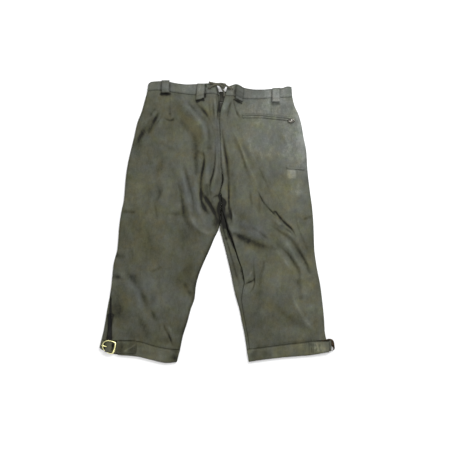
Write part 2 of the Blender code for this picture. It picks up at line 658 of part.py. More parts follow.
def build_knee_fastening(side):
    x, y, z, turn = BUCKLES[side]
    strap_low, strap_high = y - 0.5 * STRAP_WIDTH, y + 0.5 * STRAP_WIDTH
    tab_low, tab_high = y - 0.5 * TAB_WIDTHS[side], y + 0.5 * TAB_WIDTHS[side]
    strap_edges = (level_line(strap_low), level_line(strap_high), None)
    tab_edges = (level_line(tab_low), level_line(tab_high), None)
    tab_top = KNEE_BAND_TOP + LAY_GAP + TAB_WALL
    tab_start, tab_end = TAB_ENDS[side]
    if side == "left":
        start = ends_of(KNEE_BOTTOM["left"][0][0] + KNEE_WRAP + STRAP_SEAM)
        end = ends_of(tab_start - SEAM_GAP)
        stretches = [(start, end, KNEE_BAND_TOP, (0, 0), *strap_edges)]
    else:
        start = ends_of(tab_end + SEAM_GAP)
        fold = ends_of(STRAP_FOLD_X)
        end = ends_of(KNEE_FRONT_END + SEAM_GAP)
        stretches = [(start, fold, tab_top, (0, 1), *strap_edges),
                     (fold, end, 0.0, (1, 0), *strap_edges)]
    band(f"knee_strap_{side}", stretches, STRAP_WALL, "leather_trim", width_rows=2)
    tab = (ends_of(tab_start), ends_of(tab_end), tab_top, (0, 0), *tab_edges)
    band(f"buckle_tab_{side}", [tab], TAB_WALL, "leather_trim", width_rows=2)

    place = Matrix.Translation((x, y, z)) @ Matrix.Rotation(radians(turn), 4, "Z")
    flip = 1.0 if side == "left" else -1.0
    frame = [place @ Vector((flip * u, v, 0.0)) for u, v in horseshoe()]
    tube(f"buckle_frame_{side}", frame, BUCKLE_WIRE, "brass", cyclic=True)
    from_u, to_u, lift = PRONGS[side]
    prong = [place @ Vector((flip * u, 0.0, lift)) for u in np.linspace(from_u, to_u, 6)]
    tube(f"buckle_prong_{side}", prong, PRONG_WIRE, "brass")


def ends_of(x):
    return [x, x]


def horseshoe():
    """A buckle's centre line: round at -X, square with round corners at +X."""
    length, width = BUCKLE_LENGTH - BUCKLE_WIRE, BUCKLE_WIDTH - BUCKLE_WIRE
    points = []
    corners = [(0.5, 0.5, BUCKLE_CORNER, 0), (-0.5, 0.5, BUCKLE_ROUND, 90),
               (-0.5, -0.5, BUCKLE_ROUND, 180), (0.5, -0.5, BUCKLE_CORNER, 270)]
    for across, up, radius, turn in corners:
        centre_x = across * length - np.sign(across) * radius
        centre_y = up * width - np.sign(up) * radius
        for angle in np.linspace(turn, turn + 90, 6):
            points.append((centre_x + radius * cos(radians(angle)),
                           centre_y + radius * sin(radians(angle))))
    return points


# --------------------------------------------------- belt loops, eyelets and the lace

def seat_height(half, x, y):
    """The face that a piece at the waist lies on: the band's, or the panel's below it."""
    on_band = y > half.back_waist_y(x) - LOOP_STEP
    return np.where(on_band, WAISTBAND_TOP, top_height(x, y))


def build_belt_loop(name, half, x, y, length, turn):
    """A strap that stands off the waistband between its two sewn ends."""
    across = np.linspace(-0.5, 0.5, 5) * LOOP_WIDTH
    turn = radians(turn)
    rows = []
    for place, rise in LOOP_ARCH_ROWS:
        xs = x + across * cos(turn) - place * length * sin(turn)
        ys = y + across * sin(turn) + place * length * cos(turn)
        seat = max(float(seat_height(half, xs, ys + shift).max())
                   for shift in (-LOOP_REACH, 0, LOOP_REACH))
        z = seat + LAY_GAP + LOOP_WALL + rise * LOOP_ARCH
        rows.append(np.stack([xs, ys, np.full_like(xs, z)], axis=1))
    sheet(name, rows, LOOP_WALL, "leather_trim")


def highest_near(x, y, reach):
    """The panel's highest point within the reach of each place."""
    shifts = (-reach, 0, reach)
    return np.max([top_height(x + dx, y + dy) for dx in shifts for dy in shifts], axis=0)


def build_eyelet(name, x, y):
    outer, inner, height = 0.5 * EYELET_OUTER, 0.5 * EYELET_INNER, EYELET_HEIGHT
    profile = [(outer - EYELET_BEVEL, height), (outer, height - EYELET_BEVEL), (outer, 0.0),
               (inner, 0.0), (inner, height)]
    turned(name, profile, (x, y, WAISTBAND_TOP + EYELET_LIFT), "dark_metal",
           closed=True)


# ---------------------------------------------------------------- pockets and button

def build_welt(name, line, low, high):
    """A narrow strip beside a pocket's slit, moved out from the panel under it."""
    line = flowing_line(line, WELT_STEP)
    rows = []
    for offset in (low, 0.5 * (low + high), high):
        x, y = line[:, 0], line[:, 1] + offset
        z = highest_near(x, y, WELT_REACH) + LAY_GAP + WELT_WALL
        rows.append(np.stack([x, y, z], axis=1))
    sheet(name, rows, WELT_WALL, "leather_trim")


def build_pockets():
    half_slit = 0.5 * WELT_SLIT
    build_welt("pocket_welt_upper", POCKET_SLIT, half_slit, half_slit + WELT_WIDTH)
    build_welt("pocket_welt_lower", POCKET_SLIT, -half_slit - WELT_WIDTH, -half_slit)
    build_welt("knife_pocket_welt", KNIFE_SLIT, -0.5 * KNIFE_WELT, 0.5 * KNIFE_WELT)
    x, y = BUTTON_PLACE
    radius, height = 0.5 * BUTTON_DIAMETER, BUTTON_HEIGHT
    z = float(highest_near(x, y, BUTTON_REACH)) + 2 * LAY_GAP + WELT_WALL
    profile = [(r * radius, h * height) for r, h in BUTTON_PROFILE]
    turned("pocket_button", profile, (x, y, z), "dark_metal")


def main():
    for old in list(bpy.data.objects):
        bpy.data.objects.remove(old, do_unlink=True)
    collection = bpy.data.collections.new("Knee breeches")
    bpy.context.scene.collection.children.link(collection)
    for side in ("left", "right"):
        half = Half(side)
        build_panels(half)
        build_waistband(half)
        build_knee_band(half)
        build_knee_fastening(side)
        for name, *place in BELT_LOOPS[side]:
            build_belt_loop(name, half, *place)
        build_eyelet(f"eyelet_{side}", *LACES[side][0][:2])
        lace = flowing_line(LACES[side], LACE_STEP)
        tube(f"lace_{side}", lace, LACE_DIAMETER, "lace_leather")
    build_pockets()


main()
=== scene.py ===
"""Leather knee breeches, laid flat with the back up: the visual model.

Sizes are in millimetres and are turned into metres when the meshes are made. +Z is up
and +Y runs from the knees to the waist. "Left" and "right" are the halves at -X and +X.
"""

import bpy
import bmesh
import numpy as np
from math import atan, cos, radians, sin
from mathutils import Matrix, Vector, noise
from mathutils.bvhtree import BVHTree


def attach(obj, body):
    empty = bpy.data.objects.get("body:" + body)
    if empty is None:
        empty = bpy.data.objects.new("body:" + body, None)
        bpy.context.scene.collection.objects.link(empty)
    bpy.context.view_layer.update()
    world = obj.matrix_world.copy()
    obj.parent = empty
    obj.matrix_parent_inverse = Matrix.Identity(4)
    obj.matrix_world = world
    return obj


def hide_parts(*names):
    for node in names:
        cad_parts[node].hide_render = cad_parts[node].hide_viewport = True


MM = 0.001

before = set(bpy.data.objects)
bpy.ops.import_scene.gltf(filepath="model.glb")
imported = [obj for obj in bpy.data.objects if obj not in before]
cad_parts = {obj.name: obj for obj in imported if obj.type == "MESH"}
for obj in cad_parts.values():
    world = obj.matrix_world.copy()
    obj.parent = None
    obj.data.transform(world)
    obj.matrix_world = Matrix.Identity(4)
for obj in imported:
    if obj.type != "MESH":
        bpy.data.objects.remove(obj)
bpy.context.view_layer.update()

# ---------------------------------------------------------------- driving dimensions

LEATHER = 1.5                 # wall of every panel
SEAM_GAP = 0.4                # between two pieces that are sewn together
HALF_GAP = 0.5 * SEAM_GAP
EDGE_GAP = 0.6                # between back and front where they meet round an edge
LAY_GAP = 0.5                 # under a piece that lies on another

EDGE_MID = 3.2                # height where back and front meet round an outer edge
PANEL_TOP = 6.5               # outer face of a back panel that lies plainly on its front
LOWEST_TOP = 4.4              # lowest that a crease takes it
EDGE_ROUND = 6.0              # how far in from an outer edge the panels round over
EDGE_FLOOR_REACH = 22.0       # no crease goes below PANEL_TOP nearer to an edge than this

CROTCH_Y = 52.0               # where the centre-back seam meets the legs' inner edges
CROTCH_BLEND = 24.0           # length over which the seam dives between the legs
NOTCH_FOOT_Y = 288.0          # the laced notch parts the centre seam above this
HIP_LINE_Y = 150.0            # above it the rows of a panel follow its own waist seam

WAISTBAND_WALL = 2.4
WAISTBAND_TOP = 8.6
WAISTBAND_HEIGHT = 28.0
FRONT_CENTRE_Y = 317.0        # waist seam at the centre front, lower than at the back
FRONT_DIP = (0.55, 0.35)      # where the front's seam is still this share of the way up
SIDE_BLEND = 60.0             # length by a side over which the front's band takes its height
KNEE_BAND_WALL = 2.2
KNEE_BAND_TOP = 7.6
BAND_ROUND = 4.0

LOOP_WIDTH, LOOP_WALL, LOOP_ARCH = 21.0, 2.0, 2.6
LOOP_STEP = 2.0               # how far past the seam a belt loop still clears the band
LOOP_LOWER_RISE, LOOP_UPPER_RISE = 2.6, 0.6        # of its doubled ends
LOOP_TACK_IN = 6.5            # a belt loop's tacks, in from its ends
LACE_DIAMETER = 5.0
KNOT_PLACE, KNOT_LOBE, KNOT_STRAND = (16.8, 358.6, 13.4), 2.1, 4.8
EYELET_OUTER, EYELET_INNER, EYELET_HEIGHT = 8.4, 5.0, 0.9
WELT_WIDTH, WELT_WALL, WELT_SLIT = 4.4, 1.2, 0.6
KNIFE_WELT = 5.0
BUTTON_DIAMETER, BUTTON_HEIGHT = 18.0, 3.6
BUTTON_SQUASH = 0.66          # the button is oval, wider along the pocket
STRAP_WALL = 1.8
STRAP_SPANS = {"left": (-344.5, -317.0), "right": (-341.0, -313.0)}     # y of its edges
STRAP_SLOPE = -0.12           # the left strap's edges fall to the right
STRAP_HUMP = 4.4              # its rise over the buckle's bar
STRAP_SEAM = 5.6              # from the left band's wrap to its strap
STRAP_FOLD_X = 303.0          # where the right strap turns under
TAB_WALL = 1.6
TAB_LEVEL = KNEE_BAND_TOP + LAY_GAP + TAB_WALL
TAB_WIDTHS = {"left": 33.0, "right": 32.0}
TAB_SHAPES = {"left": (-330.5, 0.0), "right": (-331.5, 0.13)}   # middle y, lower edge's slope
TAB_ENDS = {"left": (-264.0, -213.0), "right": (243.0, 296.7)}
TAB_SEWN = {"left": 0.86, "right": 0.14}           # share of its length at its cross stitches
KNEE_WRAP = 9.0               # how far the left band's front end comes over on to the top
KNEE_BACK_END = {"left": -262.0, "right": 247.0}   # where a knee band ends on top
KNEE_FRONT_END = 288.0                             # and, at the right, underneath

STITCH_PITCH, STITCH_LENGTH, THREAD = 4.2, 3.3, 0.62
STITCH_IN = 2.4               # from a stitch line to its piece's edge
UNDERSIDE_SINK = 0.28         # how far the underside's stitches lie in the leather

# ------------------------------------------------------------------------- outlines
# Each table goes from the waist to the knee. y: height along the breeches, x: the edge.

OUTER_EDGE = {
    "left": [(346, -184), (326, -189.5), (294, -198.5), (262.5, -210.5), (222.5, -219.5), (183, -229.2),
        (151, -236.3), (111.5, -241.8), (58.5, -246.2), (24, -253.5), (-16, -259), (-69, -263.2),
        (-111.5, -273.4), (-167, -279.2), (-199, -284.2), (-230.5, -290), (-286, -299.6), (-313, -306)],
    "right": [(330.5, 199.5), (310, 204.5), (283.5, 216), (257, 223.5), (222.5, 229.5), (185.5, 236.5),
        (138, 239.5), (85, 245.5), (32, 252.5), (-10.5, 255.5), (-69, 257.5), (-119, 264), (-167, 273.3),
        (-214.5, 279.3), (-262.5, 283.8), (-289, 285.2), (-312.5, 289.5)]}

# The centre-back seam, then each leg's inner edge. The lacing notch parts them on top.
CENTRE_SEAM = [(275.5, 6.5), (217.5, 9.5), (151, 11), (114, 16), (79.5, 9.5), (50.5, 12.5), (18.5, 9.8)]
INNER_EDGE = {
    "left": CENTRE_SEAM + [(-9, 7.5), (-22, 3.5), (-42.5, -6.5), (-71.5, -18.5), (-103.5, -33),
        (-140.5, -48), (-169.5, -55.5), (-201.5, -59), (-230.5, -69), (-267.5, -79), (-302, -90),
        (-338, -97.5)],
    "right": CENTRE_SEAM + [(-16, 7.6), (-28, 9.8), (-42.5, 13.6), (-71.5, 21.3), (-103.5, 29),
        (-140.5, 37.5), (-169.5, 43), (-201.5, 50.5), (-230.5, 59), (-267.5, 66.5), (-302, 73.5),
        (-337, 78.5)]}
NOTCH_EDGE = {
    "left": [(333, 7.5), (303, 7)],
    "right": [(333, 21.5), (318, 17.5), (303.5, 12.5), (288, 9)]}
NOTCH_FRONT_X = 6.5           # the centre front, straight above the notch's foot

# x, y of the seams that cross the legs and the waist, from the left to the right.
WAIST_SEAM = {
    "left": [(-183, 346), (-158.5, 348.5), (-121.5, 343.5), (-94.5, 339.5), (-60.5, 336), (-29.5, 338.5),
        (-12, 340), (7.5, 333)],
    "right": [(19.5, 334), (45, 332.5), (71, 325.5), (107, 325), (144, 328), (168, 328.5),
        (199.5, 330.5)]}
WAIST_TOP = {
    "left": [(-182, 364.5), (-173, 370.7), (-145, 372.2), (-124, 369.8), (-107, 366.5), (-78, 363.5),
        (-50, 364.8), (-25, 366.2), (-0.5, 363)],
    "right": [(27, 356.6), (38, 360.8), (50.5, 364.5), (62, 360.5), (72, 354.5), (105, 350), (142, 350.5),
        (169, 353), (187, 358.2), (197.5, 357)]}
HEM_SEAM = {
    "left": [(-306, -312), (-264.5, -314), (-235, -314), (-203, -317), (-169.5, -327), (-124.5, -336),
        (-97.5, -338)],
    "right": [(78.5, -337), (128.5, -331), (172, -325), (221, -319.5), (258, -315), (289.5, -312)]}
KNEE_BOTTOM = {
    "left": [(-311, -332), (-290.5, -345.5), (-260.5, -351.5), (-212.5, -355.5), (-174, -364.5),
        (-133, -372.8), (-106, -370.3)],
    "right": [(84, -370), (119.5, -364.5), (172, -358.4), (221, -354.3), (255, -351.8), (299.5, -344)]}

# How far a front panel wraps over an edge on to the top: y, front's edge, back's edge.
INSEAM_WRAP = {
    "left": [],
    "right": [(36, 0, 0), (2.5, 14.5, 14.5), (-22.5, 21, 21), (-65, 26, 26), (-94, 28, 28),
        (-130, 32, 32), (-160, 31, 31), (-185, 21, 21), (-215, 11, 11), (-245, 8, 8), (-338, 7, 7)]}
VENT_WRAP = {
    "left": [(-168, 0, 0), (-206, 3, 5), (-257, 8, 15), (-314, 16, 28)],
    "right": []}

# --------------------------------------------------------------------- small pieces

# A buckle's x, y, z and turn in degrees.
BUCKLES = {"left": (-286.0, -330.5, 9.8, -17.0), "right": (293.0, -330.0, 4.5, 4.0)}
# A buckle's frame, all round: x, y, half-width and half-height.
BUCKLE_LINES = {
    "left": [(-267.2, -319.6, 2.4, 1.5), (-268.2, -326.5, 1.9, 1.5), (-269.8, -334, 1.7, 1.5),
        (-272, -341, 2.3, 1.5), (-274.4, -346.3, 2.3, 1.5), (-279, -347.3, 1, 1.1),
        (-285, -346.4, 0.7, 0.9), (-291, -343.8, 0.6, 0.8), (-296.4, -339.6, 0.7, 0.8),
        (-300.4, -334.6, 1, 1.2), (-302, -328, 1.3, 1.5), (-300.5, -320.8, 1.3, 1.6),
        (-296.2, -315.7, 1.3, 1.6), (-289.6, -313.2, 1.3, 1.6), (-281, -313.7, 1.3, 1.6),
        (-273.4, -316.2, 1.6, 1.6)],
    "right": [(278, -314.4, 1.5, 1.5), (287, -312.2, 1.6, 1.6), (296, -310.6, 1.9, 1.6),
        (302.2, -311.8, 2.8, 1.6), (304.8, -315.8, 4.2, 1.6), (305.6, -321, 4.6, 1.6),
        (306.8, -326, 4.2, 1.6), (309.4, -331, 2.2, 1.6), (310.2, -335.6, 1.7, 1.5),
        (307.6, -338.9, 0.7, 1.2), (299, -340.4, 0.9, 1.3), (284, -341.4, 1.2, 1.5),
        (278.5, -340, 1.4, 1.5), (277, -328, 1.6, 1.5)]}
BUCKLE_SMOOTHING = 6          # times that the frame's line is smoothed
# Its prong's start and end along it, lift, and how far the end dips.
PRONGS = {"left": (-19.0, -5.5, 3.5, 2.6), "right": (-7.1, 13.2, 0.0, 0.0)}
PRONG_WIRE = 2.8
PRONG_TIP = (0.62, 0.35)      # its thickness there, and the share over which it tapers
BELT_LOOPS = {                # name, x, y, length, turn, ends' slopes, lighter
    "left": [("belt_loop_left_outer", -135.5, 357.0, 34.0, 0.0, (0.0, 0.0), 0.14),
             ("belt_loop_left_inner", -43.0, 344.5, 42.0, -5.0, (0.42, 0.09), 0.18)],
    "right": [("belt_loop_right_inner", 60.5, 339.5, 37.0, -6.0, (-0.36, -0.36), -0.10),
              ("belt_loop_right_outer", 156.5, 335.5, 36.5, 0.0, (0.0, 0.05), 0.16)]}
# The lace's route from each eyelet.
LACES = {
    "left": [(-21, 352.5, 11), (-16, 356.2, 13), (-9.6, 360.2, 13.4), (-3, 361.8, 13.4),
        (3.5, 361.2, 13.2), (8.8, 358.4, 12.8), (12.6, 353.6, 12.2), (15.4, 348.6, 11.6),
        (18.2, 343.6, 10.6), (19.8, 338, 9), (18.4, 332.4, 7.8)],
    "right": [(39.5, 351.5, 11), (35.4, 353.2, 12.8), (31.4, 355, 13.6), (27.6, 357, 14),
        (23.8, 359.4, 14.6), (20.2, 361.8, 15), (15.6, 363.8, 15.2), (9.6, 364.2, 15), (2.6, 363.8, 14.4),
        (-5, 364.6, 13.2), (-14, 366.6, 12.6), (-21.5, 368.2, 12.4)]}
# Lines that are sewn or cut: the pockets' slits, the darts and the right inseam's seam.
POCKET_SLIT = [(68, 279.5), (112, 280), (144, 277), (184, 273), (206, 269.5)]
KNIFE_SLIT = [(184, 143), (208, 141.5), (232.5, 139.5)]
DARTS = {"left": [(-125, 338), (-124.5, 312), (-124, 286)],
         "right": [(142, 322), (142.5, 304), (143, 286)]}
INSEAM_STITCHES = [(34, -40), (41, -70), (48, -108), (54, -142), (61, -188), (66, -216)]
# From y to y, further stitches: right inseam, left vent, the fronts' centre seam.
INSEAM_SPAN, VENT_SPAN, CENTRE_SPAN = (-214.0, -330.0), (-216.0, -308.0), (300.0, 64.0)
CENTRE_LINES = (2.4, 6.6)     # the back's two lines, beside its centre seam
SECOND_LINE = 2.2             # from a dart, or from a line of stitches to its second one
OPEN_EDGE_IN = 2.6            # from the vent's and the fronts' edges

BUTTON_PLACE = (196.5, 267.5)
# Its outlines from the outside in: radius and height, as shares of the button's own.
BUTTON_RIM = [(0.01, 0), (0.88, 0), (0.98, 0.18), (1, 0.36), (0.96, 0.55), (0.86, 0.7), (0.7, 0.72),
    (0.54, 0.56), (0.36, 0.5)]
BUTTON_STUD = [(0.34, 0.46), (0.32, 0.6), (0.27, 0.74), (0.18, 0.84), (0.09, 0.88), (0.01, 0.89)]

# ----------------------------------------------------------------------- soft forms
# Broad swells of the leather: centre x, y, half-lengths along x and y, rise.

SWELLS = [
    ("left seat", -110, 235, 95, 85, 4),
    ("right seat", 120, 200, 90, 90, 4),
    ("left thigh", -150, 55, 80, 95, 3.5),
    ("right thigh", 160, 20, 75, 90, 4),
    ("left knee", -190, -190, 75, 95, 3.5),
    ("right knee", 185, -180, 80, 90, 4)]

# Folds: half-width to the left and to the right of the line as it runs, rise (a crease is
# below zero), painted shade (below zero) or painted highlight (above) along its middle, then the points
# of its line.
FOLDS = [
    ("waist ridge, left", 16, 12, 1.1, 0.06, [(-112, 336), (-84, 316), (-60, 292), (-42, 268), (-32, 240),
     (-27, 205), (-25, 175)]),
    ("line in that ridge", 4, 5, -0.6, -0.07, [(-88, 326), (-70, 308), (-54, 291), (-38, 273),
     (-30, 258)]),
    ("crease beside it", 4.5, 5, -0.9, -0.3, [(-60, 317), (-46, 305), (-34, 292), (-24, 278),
     (-16, 260)]),
    ("seat's boundary, left", 14, 10, -0.8, -0.12, [(-112, 282), (-96, 264), (-78, 246), (-64, 228),
     (-54, 208), (-52, 186), (-57, 164), (-56, 140), (-51, 118)]),
    ("hip crease, upper", 7.5, 7, -1.4, -0.29, [(-149, 302), (-155, 289), (-161, 276), (-167, 264),
     (-173, 251), (-179, 238), (-186, 224)]),
    ("hip crease, lower", 12, 9, -0.9, -0.22, [(-166, 284), (-179, 264), (-191, 246), (-202, 228),
     (-211, 208), (-216, 188)]),
    ("hip crease, start", 4.9, 4.9, -0.6, -0.14, [(-158, 306), (-170, 291), (-182, 273)]),
    ("hip ridge, left", 5, 5, 0.4, 0, [(-172, 280), (-188, 262), (-204, 240)]),
    ("fine hip line", 3, 3, -0.4, -0.12, [(-141, 285), (-152, 270), (-161, 252)]),
    ("dart smile", 3, 3, -0.9, -0.27, [(-142, 277), (-131, 270), (-122, 268), (-115, 272), (-111, 281)]),
    ("dart pucker", 3, 3, -0.6, -0.14, [(-124, 293), (-124, 283), (-124, 274)]),
    ("seat pocket", 5, 6, -0.7, -0.1, [(-56, 186), (-46, 184), (-38, 180), (-34, 166)]),
    ("seat crease, outer", 4.4, 3.6, -1.7, -0.36, [(-46, 212), (-38, 190), (-34, 170), (-36, 148),
     (-41, 122), (-43, 98), (-43, 72), (-41, 54), (-34, 38), (-24, 24), (-14, 14)]),
    ("seat ridge, left", 8, 8, 1.1, 0.03, [(-20, 190), (-24, 150), (-28, 116), (-27, 84)]),
    ("seat crease, inner", 2.8, 3.2, -1.1, -0.42, [(-4, 226), (-4, 190), (-6, 152), (-11, 124),
     (-17, 104), (-18, 84), (-15, 50)]),
    ("centre ridge, left", 4, 4, 0.8, 0.07, [(1, 196), (1, 160), (-3, 134), (-6, 112), (-6, 88)]),
    ("fork crease, left", 8.5, 8, -1.9, -0.52, [(-48, 102), (-44, 86), (-36, 72), (-26, 57), (-16, 41),
     (-6, 22), (1, 3), (6, -14)]),
    ("fork wrinkle", 3, 3, -0.6, -0.25, [(-14, 61), (-4, 68), (6, 72)]),
    ("thigh hollow, left", 4, 5, -0.8, -0.13, [(-94, 176), (-84, 140), (-77, 114), (-70, 88), (-65, 64),
     (-62, 44), (-62, 20)]),
    ("thigh ridge, outer", 7, 7, 0.9, -0.03, [(-108, 176), (-97, 138), (-88, 108), (-80, 78), (-75, 50),
     (-70, 24), (-62, -4)]),
    ("thigh ridge, inner", 10, 10, 1, 0.06, [(-62, 134), (-56, 100), (-52, 70), (-48, 44), (-40, 16),
     (-30, -6)]),
    ("inner thigh, low ridge", 12, 7, 1.4, 0.12, [(-74, 34), (-66, 6), (-54, -12), (-38, -24), (-20, -30),
     (-6, -26)]),
    ("inner thigh crease", 12, 8, -1.1, -0.24, [(-104, 122), (-99, 96), (-94, 68), (-90, 44), (-86, 20),
     (-80, 0), (-70, -18), (-54, -34)]),
    ("thigh trough, left", 12, 12, -1, -0.14, [(-132, 180), (-146, 154), (-158, 128), (-156, 100),
     (-150, 76), (-160, 54), (-166, 32)]),
    ("thigh line, left", 5, 5, -0.6, -0.1, [(-166, 54), (-161, 28), (-157, 2)]),
    ("knee line, left", 5, 5, -0.6, -0.1, [(-138, 24), (-112, 21), (-84, 23)]),
    ("edge crease, left", 5, 5, -0.7, -0.12, [(-258, 31), (-234, 26), (-208, 25)]),
    ("edge pucker, left", 12, 10, -0.6, -0.22, [(-286, -84), (-266, -88), (-236, -92)]),
    ("lower edge pucker", 7, 7, -0.8, -0.2, [(-292, -142), (-268, -144), (-244, -152)]),
    ("calf crease, left", 15, 14, -1.4, -0.24, [(-250, -116), (-234, -137), (-218, -156), (-205, -174),
     (-195, -194), (-187, -216), (-178, -242)]),
    ("calf crease, second", 8, 7, -0.8, -0.14, [(-182, -216), (-172, -236), (-164, -254), (-156, -272),
     (-148, -288)]),
    ("calf ridge, left", 9, 9, 0.9, -0.02, [(-256, -112), (-240, -142), (-224, -166), (-210, -190),
     (-202, -218), (-190, -246), (-174, -270)]),
    ("shin wrinkle, left", 6, 6, -0.6, -0.09, [(-180, -134), (-160, -126), (-140, -116)]),
    ("hem crease, outer", 12, 10, -0.9, -0.1, [(-208, -238), (-200, -264), (-188, -284), (-168, -304)]),
    ("hem crease, left", 3.2, 3, -1, -0.24, [(-145, -262), (-136, -284), (-127, -300), (-120, -318),
     (-116, -336)]),
    ("hem ridge, left", 6, 5, 0.8, 0.06, [(-132, -268), (-122, -290), (-110, -318)]),
    ("hem pucker", 6, 6, -0.3, -0.05, [(-192, -284), (-186, -300), (-184, -314)]),
    ("inner calf hollow", 10, 9, -0.7, -0.15, [(-92, -154), (-78, -178), (-62, -206)]),
    ("waist fold, right", 4, 4, -0.8, -0.24, [(40, 328), (34, 308), (30, 290), (25, 270)]),
    ("waist ridge, right", 6, 6, 0.9, 0.02, [(30, 332), (24, 314), (17, 296), (11, 274)]),
    ("pocket's end crease", 3.6, 3.6, -0.7, -0.34, [(42, 330), (47, 306), (54, 286), (68, 268)]),
    ("seat crease, right", 4.2, 3.6, -1.4, -0.26, [(9, 286), (12, 250), (17, 216), (21.5, 184), (26, 156),
     (29, 128), (31, 100), (32, 72), (32, 44), (33, 10)]),
    ("seat crease, right foot", 3, 3, -0.8, -0.36, [(29, 118), (31, 80), (31, 44), (32, 4)]),
    ("seam ridge, right", 4, 4, 0.8, 0.05, [(8, 234), (11, 205), (15, 176), (19, 150), (23, 116)]),
    ("seat ridge, right", 10, 9, 1, 0.01, [(28, 244), (38, 205), (46, 170), (50, 130), (52, 90),
     (50, 46)]),
    ("thigh line, dark", 3.4, 8, -0.7, -0.2, [(36, 250), (48, 222), (60, 194), (69, 168), (77, 144),
     (86, 120), (98, 92)]),
    ("thigh line, bright", 2.6, 2.4, 0.4, 0.06, [(40, 250), (58, 212), (72, 177), (82, 152), (92, 130),
     (103, 106), (114, 80), (122, 58)]),
    ("thigh line, second", 2.4, 2.4, 0.4, 0.1, [(70, 226), (86, 192), (100, 164), (112, 138), (122, 112),
     (130, 86)]),
    ("thigh crease, right", 3.4, 4.4, -0.5, -0.13, [(76, 214), (90, 184), (102, 160), (114, 136),
     (127, 110), (138, 84), (148, 60)]),
    ("thigh ridge, right", 10, 8, 0.8, 0.02, [(92, 220), (110, 186), (128, 150), (142, 116), (154, 80)]),
    ("inner thigh line", 4, 4, -0.5, -0.1, [(86, 100), (88, 70), (92, 40), (92, 16)]),
    ("thigh line by the crease", 4, 4, -0.5, -0.09, [(108, 84), (112, 56), (112, 30), (108, 8)]),
    ("thigh crease, sharp", 1.9, 1.8, -0.9, -0.44, [(106, 92), (110, 78), (116, 65), (124, 51), (136, 36),
     (149, 22), (161, 12)]),
    ("thigh crease, foot", 2.4, 2.2, -0.6, -0.42, [(133, 40), (143, 30), (151, 21), (161, 12)]),
    ("crease over the knee", 3, 2.4, -1.6, -0.58, [(136, 20), (144, 28), (152, 28), (160, 19), (171, 6),
     (184, -7), (197, -19), (205, -32), (212, -50)]),
    ("its bright side", 4, 4, 0.8, 0.08, [(144, 16), (160, 0), (176, -16), (192, -30), (208, -48)]),
    ("thin crease by the edge", 3.3, 4.1, -0.4, -0.1, [(206, 36), (209, 12), (213, -8), (220, -28),
     (229, -50), (240, -74), (251, -96)]),
    ("calf crease, outer", 5, 6, -1.1, -0.24, [(134, 0), (154, -16), (173, -29), (189, -40), (203, -54),
     (216, -73), (228, -94), (240, -116), (250, -137), (258, -157)]),
    ("calf ridge, right", 9, 8, 1.2, 0.04, [(164, -34), (184, -58), (200, -82), (214, -106),
     (226, -130)]),
    ("calf trough, right", 5, 6, -0.9, -0.22, [(150, -46), (168, -66), (184, -80), (196, -95),
     (206, -110), (216, -126), (219, -144), (212, -162), (202, -180)]),
    ("second calf ridge", 7, 7, 0.8, 0.05, [(144, -56), (160, -74), (172, -92), (186, -112),
     (200, -134)]),
    ("inner fold, ridge", 15, 10, 2.2, -0.12, [(34, 26), (52, 6), (76, -10), (100, -24), (126, -40),
     (152, -62)]),
    ("inner fold, crease", 10, 14, -1.9, -0.3, [(12, -20), (36, -29), (54, -34), (72, -41), (90, -51),
     (106, -59), (122, -64), (142, -68), (176, -76)]),
    ("line in the inner fold", 5, 5, -0.6, -0.1, [(80, -8), (104, -22), (122, -34), (144, -52)]),
    ("fork bulge, rim", 4, 4, 0.8, 0.08, [(36, 38), (43, 18), (46, 2), (43, -16)]),
    ("fork bulge, crease", 3, 3.6, -1.4, -0.34, [(32, 60), (34, 40), (37, 22), (38, 4), (35, -12)]),
    ("knee ridge, right", 8, 8, 1.1, 0.08, [(194, -186), (206, -212), (218, -234), (230, -254),
     (246, -276), (264, -294)]),
    ("knee trough, right", 14, 12, -1.1, -0.12, [(146, -206), (170, -236), (190, -254), (214, -268),
     (240, -284), (262, -302)]),
    ("shin crease", 2.6, 2.6, -0.7, -0.3, [(97, -96), (97, -120), (99, -142), (99, -162), (94, -178),
     (84, -187), (70, -190)]),
    ("shin crease, outer", 5, 5, -0.6, -0.1, [(126, -90), (122, -122), (114, -150), (112, -182)]),
    ("inseam pucker", 2.4, 2.4, -1, -0.36, [(68, -168), (82, -161), (96, -154), (104, -140)]),
    ("inseam pucker, bright", 5, 4.5, 0.8, 0.08, [(76, -154), (86, -142), (93, -126)]),
    ("edge pucker, right", 4.1, 4.1, -0.6, -0.18, [(222, 4), (238, 10), (256, 17)]),
    ("lacing pucker, left", 3, 3, -0.5, -0.22, [(-12, 342), (-10, 310), (-8, 280), (-7, 250)]),
    ("lacing pucker, second", 3.6, 3.2, -0.5, -0.38, [(-2, 346), (0, 314), (2, 288), (3, 258)]),
    ("lacing ridge, left", 3, 3, 0.5, 0.02, [(-8, 342), (-6, 310), (-3, 284), (-1, 256)]),
    ("lacing pucker, outer", 4, 4, -0.4, -0.12, [(-22, 340), (-20, 306), (-16, 270)]),
    ("seat wrinkle, left", 6, 8, -0.6, -0.05, [(-150, 214), (-128, 196), (-98, 190)]),
    ("seat wrinkle, right", 8, 6, -0.6, -0.03, [(150, 236), (176, 214), (190, 184)])]
FOLD_END = 0.38               # share of a fold's length over which each end fades
FOLD_STEP = 2.0               # spacing of the points that a fold's line is read at
FOLD_REACH = 2.8              # half-widths beyond which a fold is left out
FOLD_WANDER = 0.28            # how far a fold's width and rise vary along it
FOLD_TAPER = 0.45             # its width at its ends, as a share of that at its middle
# A fold's middle is painted shade along a crease and painted highlight along a ridge.
FOLD_CORE = 0.66              # its darker or lighter middle, as a share of its widths

